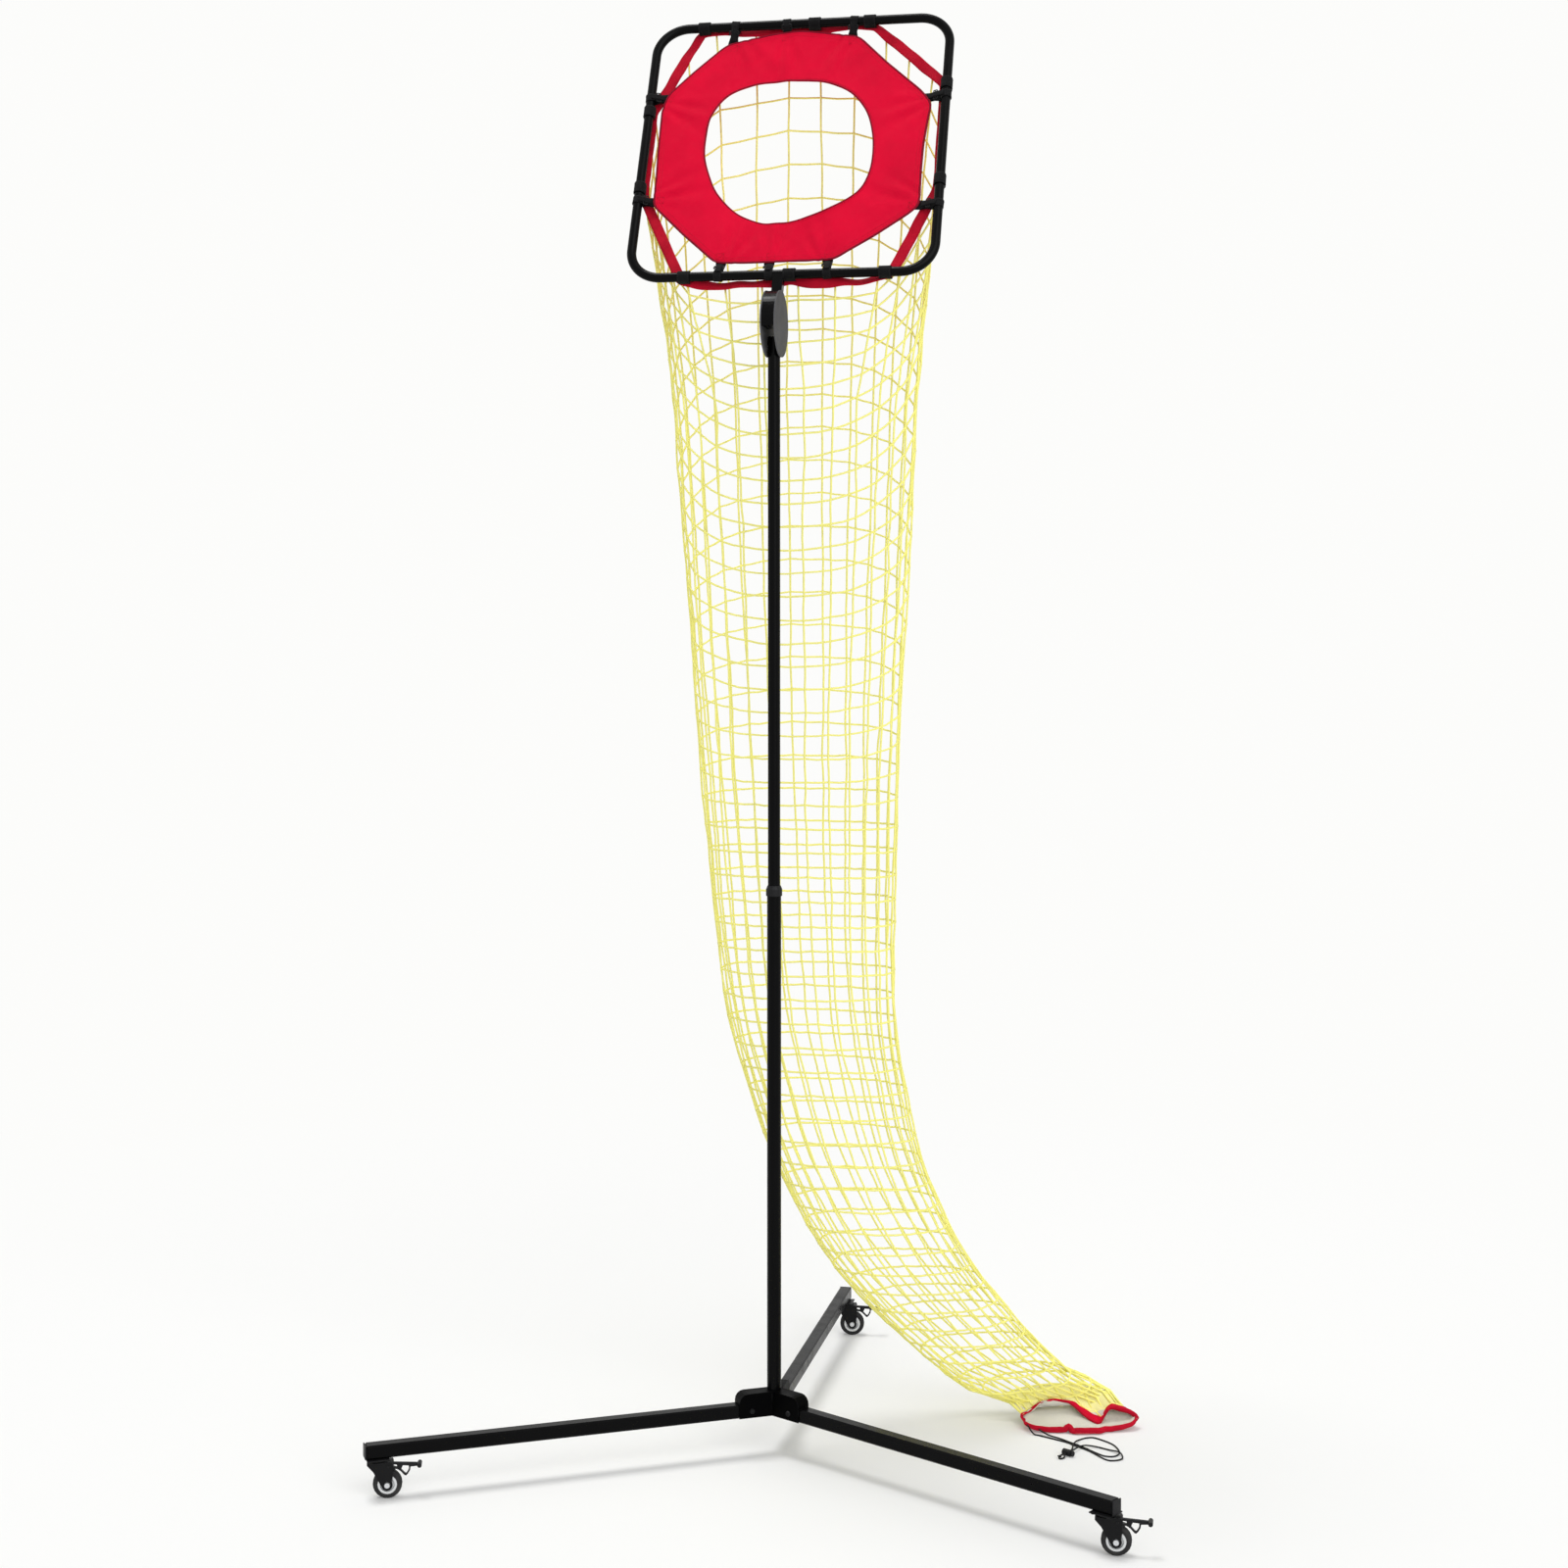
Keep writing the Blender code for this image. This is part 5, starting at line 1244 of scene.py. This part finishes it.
def lining_ends():
    """Rings of the lining inside the net, from its edge to the cuff's gathered end."""
    ends = []
    for t in (*low_stations()[-2:], 1.0):
        station = chute_station(t)
        top = pinched(half_ring(station, 0.0, math.pi, LINING_IN), t, 0.0068)
        ring = joined([top, half_ring(station, math.pi, CIRCLE, LINING_IN)])
        above = ring[CUFF_HALF:0:-1, 2] - 0.0015
        ring[CUFF_HALF:, 2] = np.minimum(np.maximum(ring[CUFF_HALF:, 2] + 0.0030, 0.0070), above)
        ring[:, 2] = np.maximum(ring[:, 2], 0.0040)
        ends.append(ring)
    return [ends[0] + (ends[1] - ends[0]) * step / 8 for step in range(8)] + ends[1:]


def build_cuff():
    """The red sleeve, the lining that shows inside it and through the net, and the rolled hem."""
    mouth = joined(mouth_ring())
    back = joined(back_ring())
    k = np.arange(len(mouth))
    centre = np.array(POLE + Vector(CUFF_MOUTH[0]).lerp(Vector(CUFF_BACK[0]), 0.5))
    upper = np.sin(np.pi * np.minimum(k, CUFF_HALF) / CUFF_HALF) * (k < CUFF_HALF)

    def off_cloth(ring, way):
        """The way straight out of the cloth at each point of a ring."""
        ahead = np.roll(ring, -1, axis=0) - np.roll(ring, 1, axis=0)
        out = np.cross(ahead, way)
        out *= np.sign((out * (ring - centre)).sum())
        return unit(evened(out, 3))

    def sleeve(share, inset=0.0):
        """The sleeve's ring at a share of the way to its mouth, with pleats, creases and a bulge."""
        ring = back + (mouth - back) * share
        pleat = 0.0016 * np.sin(k * 0.83 + 1.3 * np.sin(k * 0.11)) * (1.0 - 0.7 * share)
        crumple = ripple(k * 0.09 + share * 2.0, k * 0.05 + share * 4.0, 21)
        crumple = 0.0030 * crumple * math.sin(math.pi * share)
        bulge = 0.0055 * upper * math.sin(math.pi * share)
        tuck = 0.0058 * max(0.0, 1.0 - share / 0.3) ** 2
        out = unit(ring - centre) * (pleat + crumple + bulge)[:, None]
        ring = ring + out - off_cloth(ring, mouth - back) * (inset + tuck)
        ring[:, 2] = np.maximum(ring[:, 2], 0.0014 + inset)
        return ring

    rows = [sleeve(share) for share in np.linspace(0.0, 1.0, 15)]
    shape = Shape().grid(rows, True)
    cuff = shape.piece("cuff_sleeve", [RED_CLOTH, LINING], "base", "chute_cuff", "red_fabric")
    thicken(cuff, 0.0011, 1)

    inner = lining_ends()
    inner += [sleeve(share, 0.0022) for share in (0.22, 0.36, 0.50, 0.64, 0.76)] + [sleeve(0.84, 0.0018)]
    shape = Shape().grid(inner, True)
    for row in PINCH_ROWS:
        for column in PINCH_COLUMNS:
            shape.looks[row * len(mouth) + column] = 2
    looks = [LEMON_LINING, LINING, LEMON_LINING]
    lining = shape.piece("cuff_lining", looks, "base", "chute_cuff", "red_fabric")
    thicken(lining, 0.0007, 1)

    edge = rows[-1]
    way = unit(edge - rows[-3])
    out = off_cloth(edge, way)
    lip = np.sqrt(np.sin(np.pi * np.maximum(k - CUFF_HALF, 0) / CUFF_HALF))
    lobe = np.clip((edge[:, 0] - POLE.x - 0.735) / 0.02, 0.0, 1.0) * (k < CUFF_HALF)
    tall = (0.0030 + 0.0046 * lip + 0.0028 * lobe)[:, None]
    deep = (0.0036 + 0.0026 * lip + 0.0012 * lobe)[:, None]
    core = edge - way * (deep * 0.9)
    core[:, 2] = np.maximum(core[:, 2], tall[:, 0] + 0.0006)
    ring = oval_tube(core, way, deep, out, tall, 12)
    ring[:, :, 2] = np.maximum(ring[:, :, 2], 0.0004)
    hem = Shape().grid(np.concatenate([ring, ring[:1]]), True)
    for line, proud in ((edge - way * 0.0112, out), (rows[5], off_cloth(rows[5], mouth - back))):
        stitches(hem, line, [proud], 0.0034, 0.0014, 0.0010, 0.0005, closed=True, look=1)
    trim = hem.piece("cuff_hem", [RED_TAPE, THREAD], "base", "chute_cuff", "red_fabric", 1e-6)


build_studio()
dress_nodes()
build_cord()
build_head_tube()
build_panel()
build_straps()
build_band()
build_net()
build_cuff()
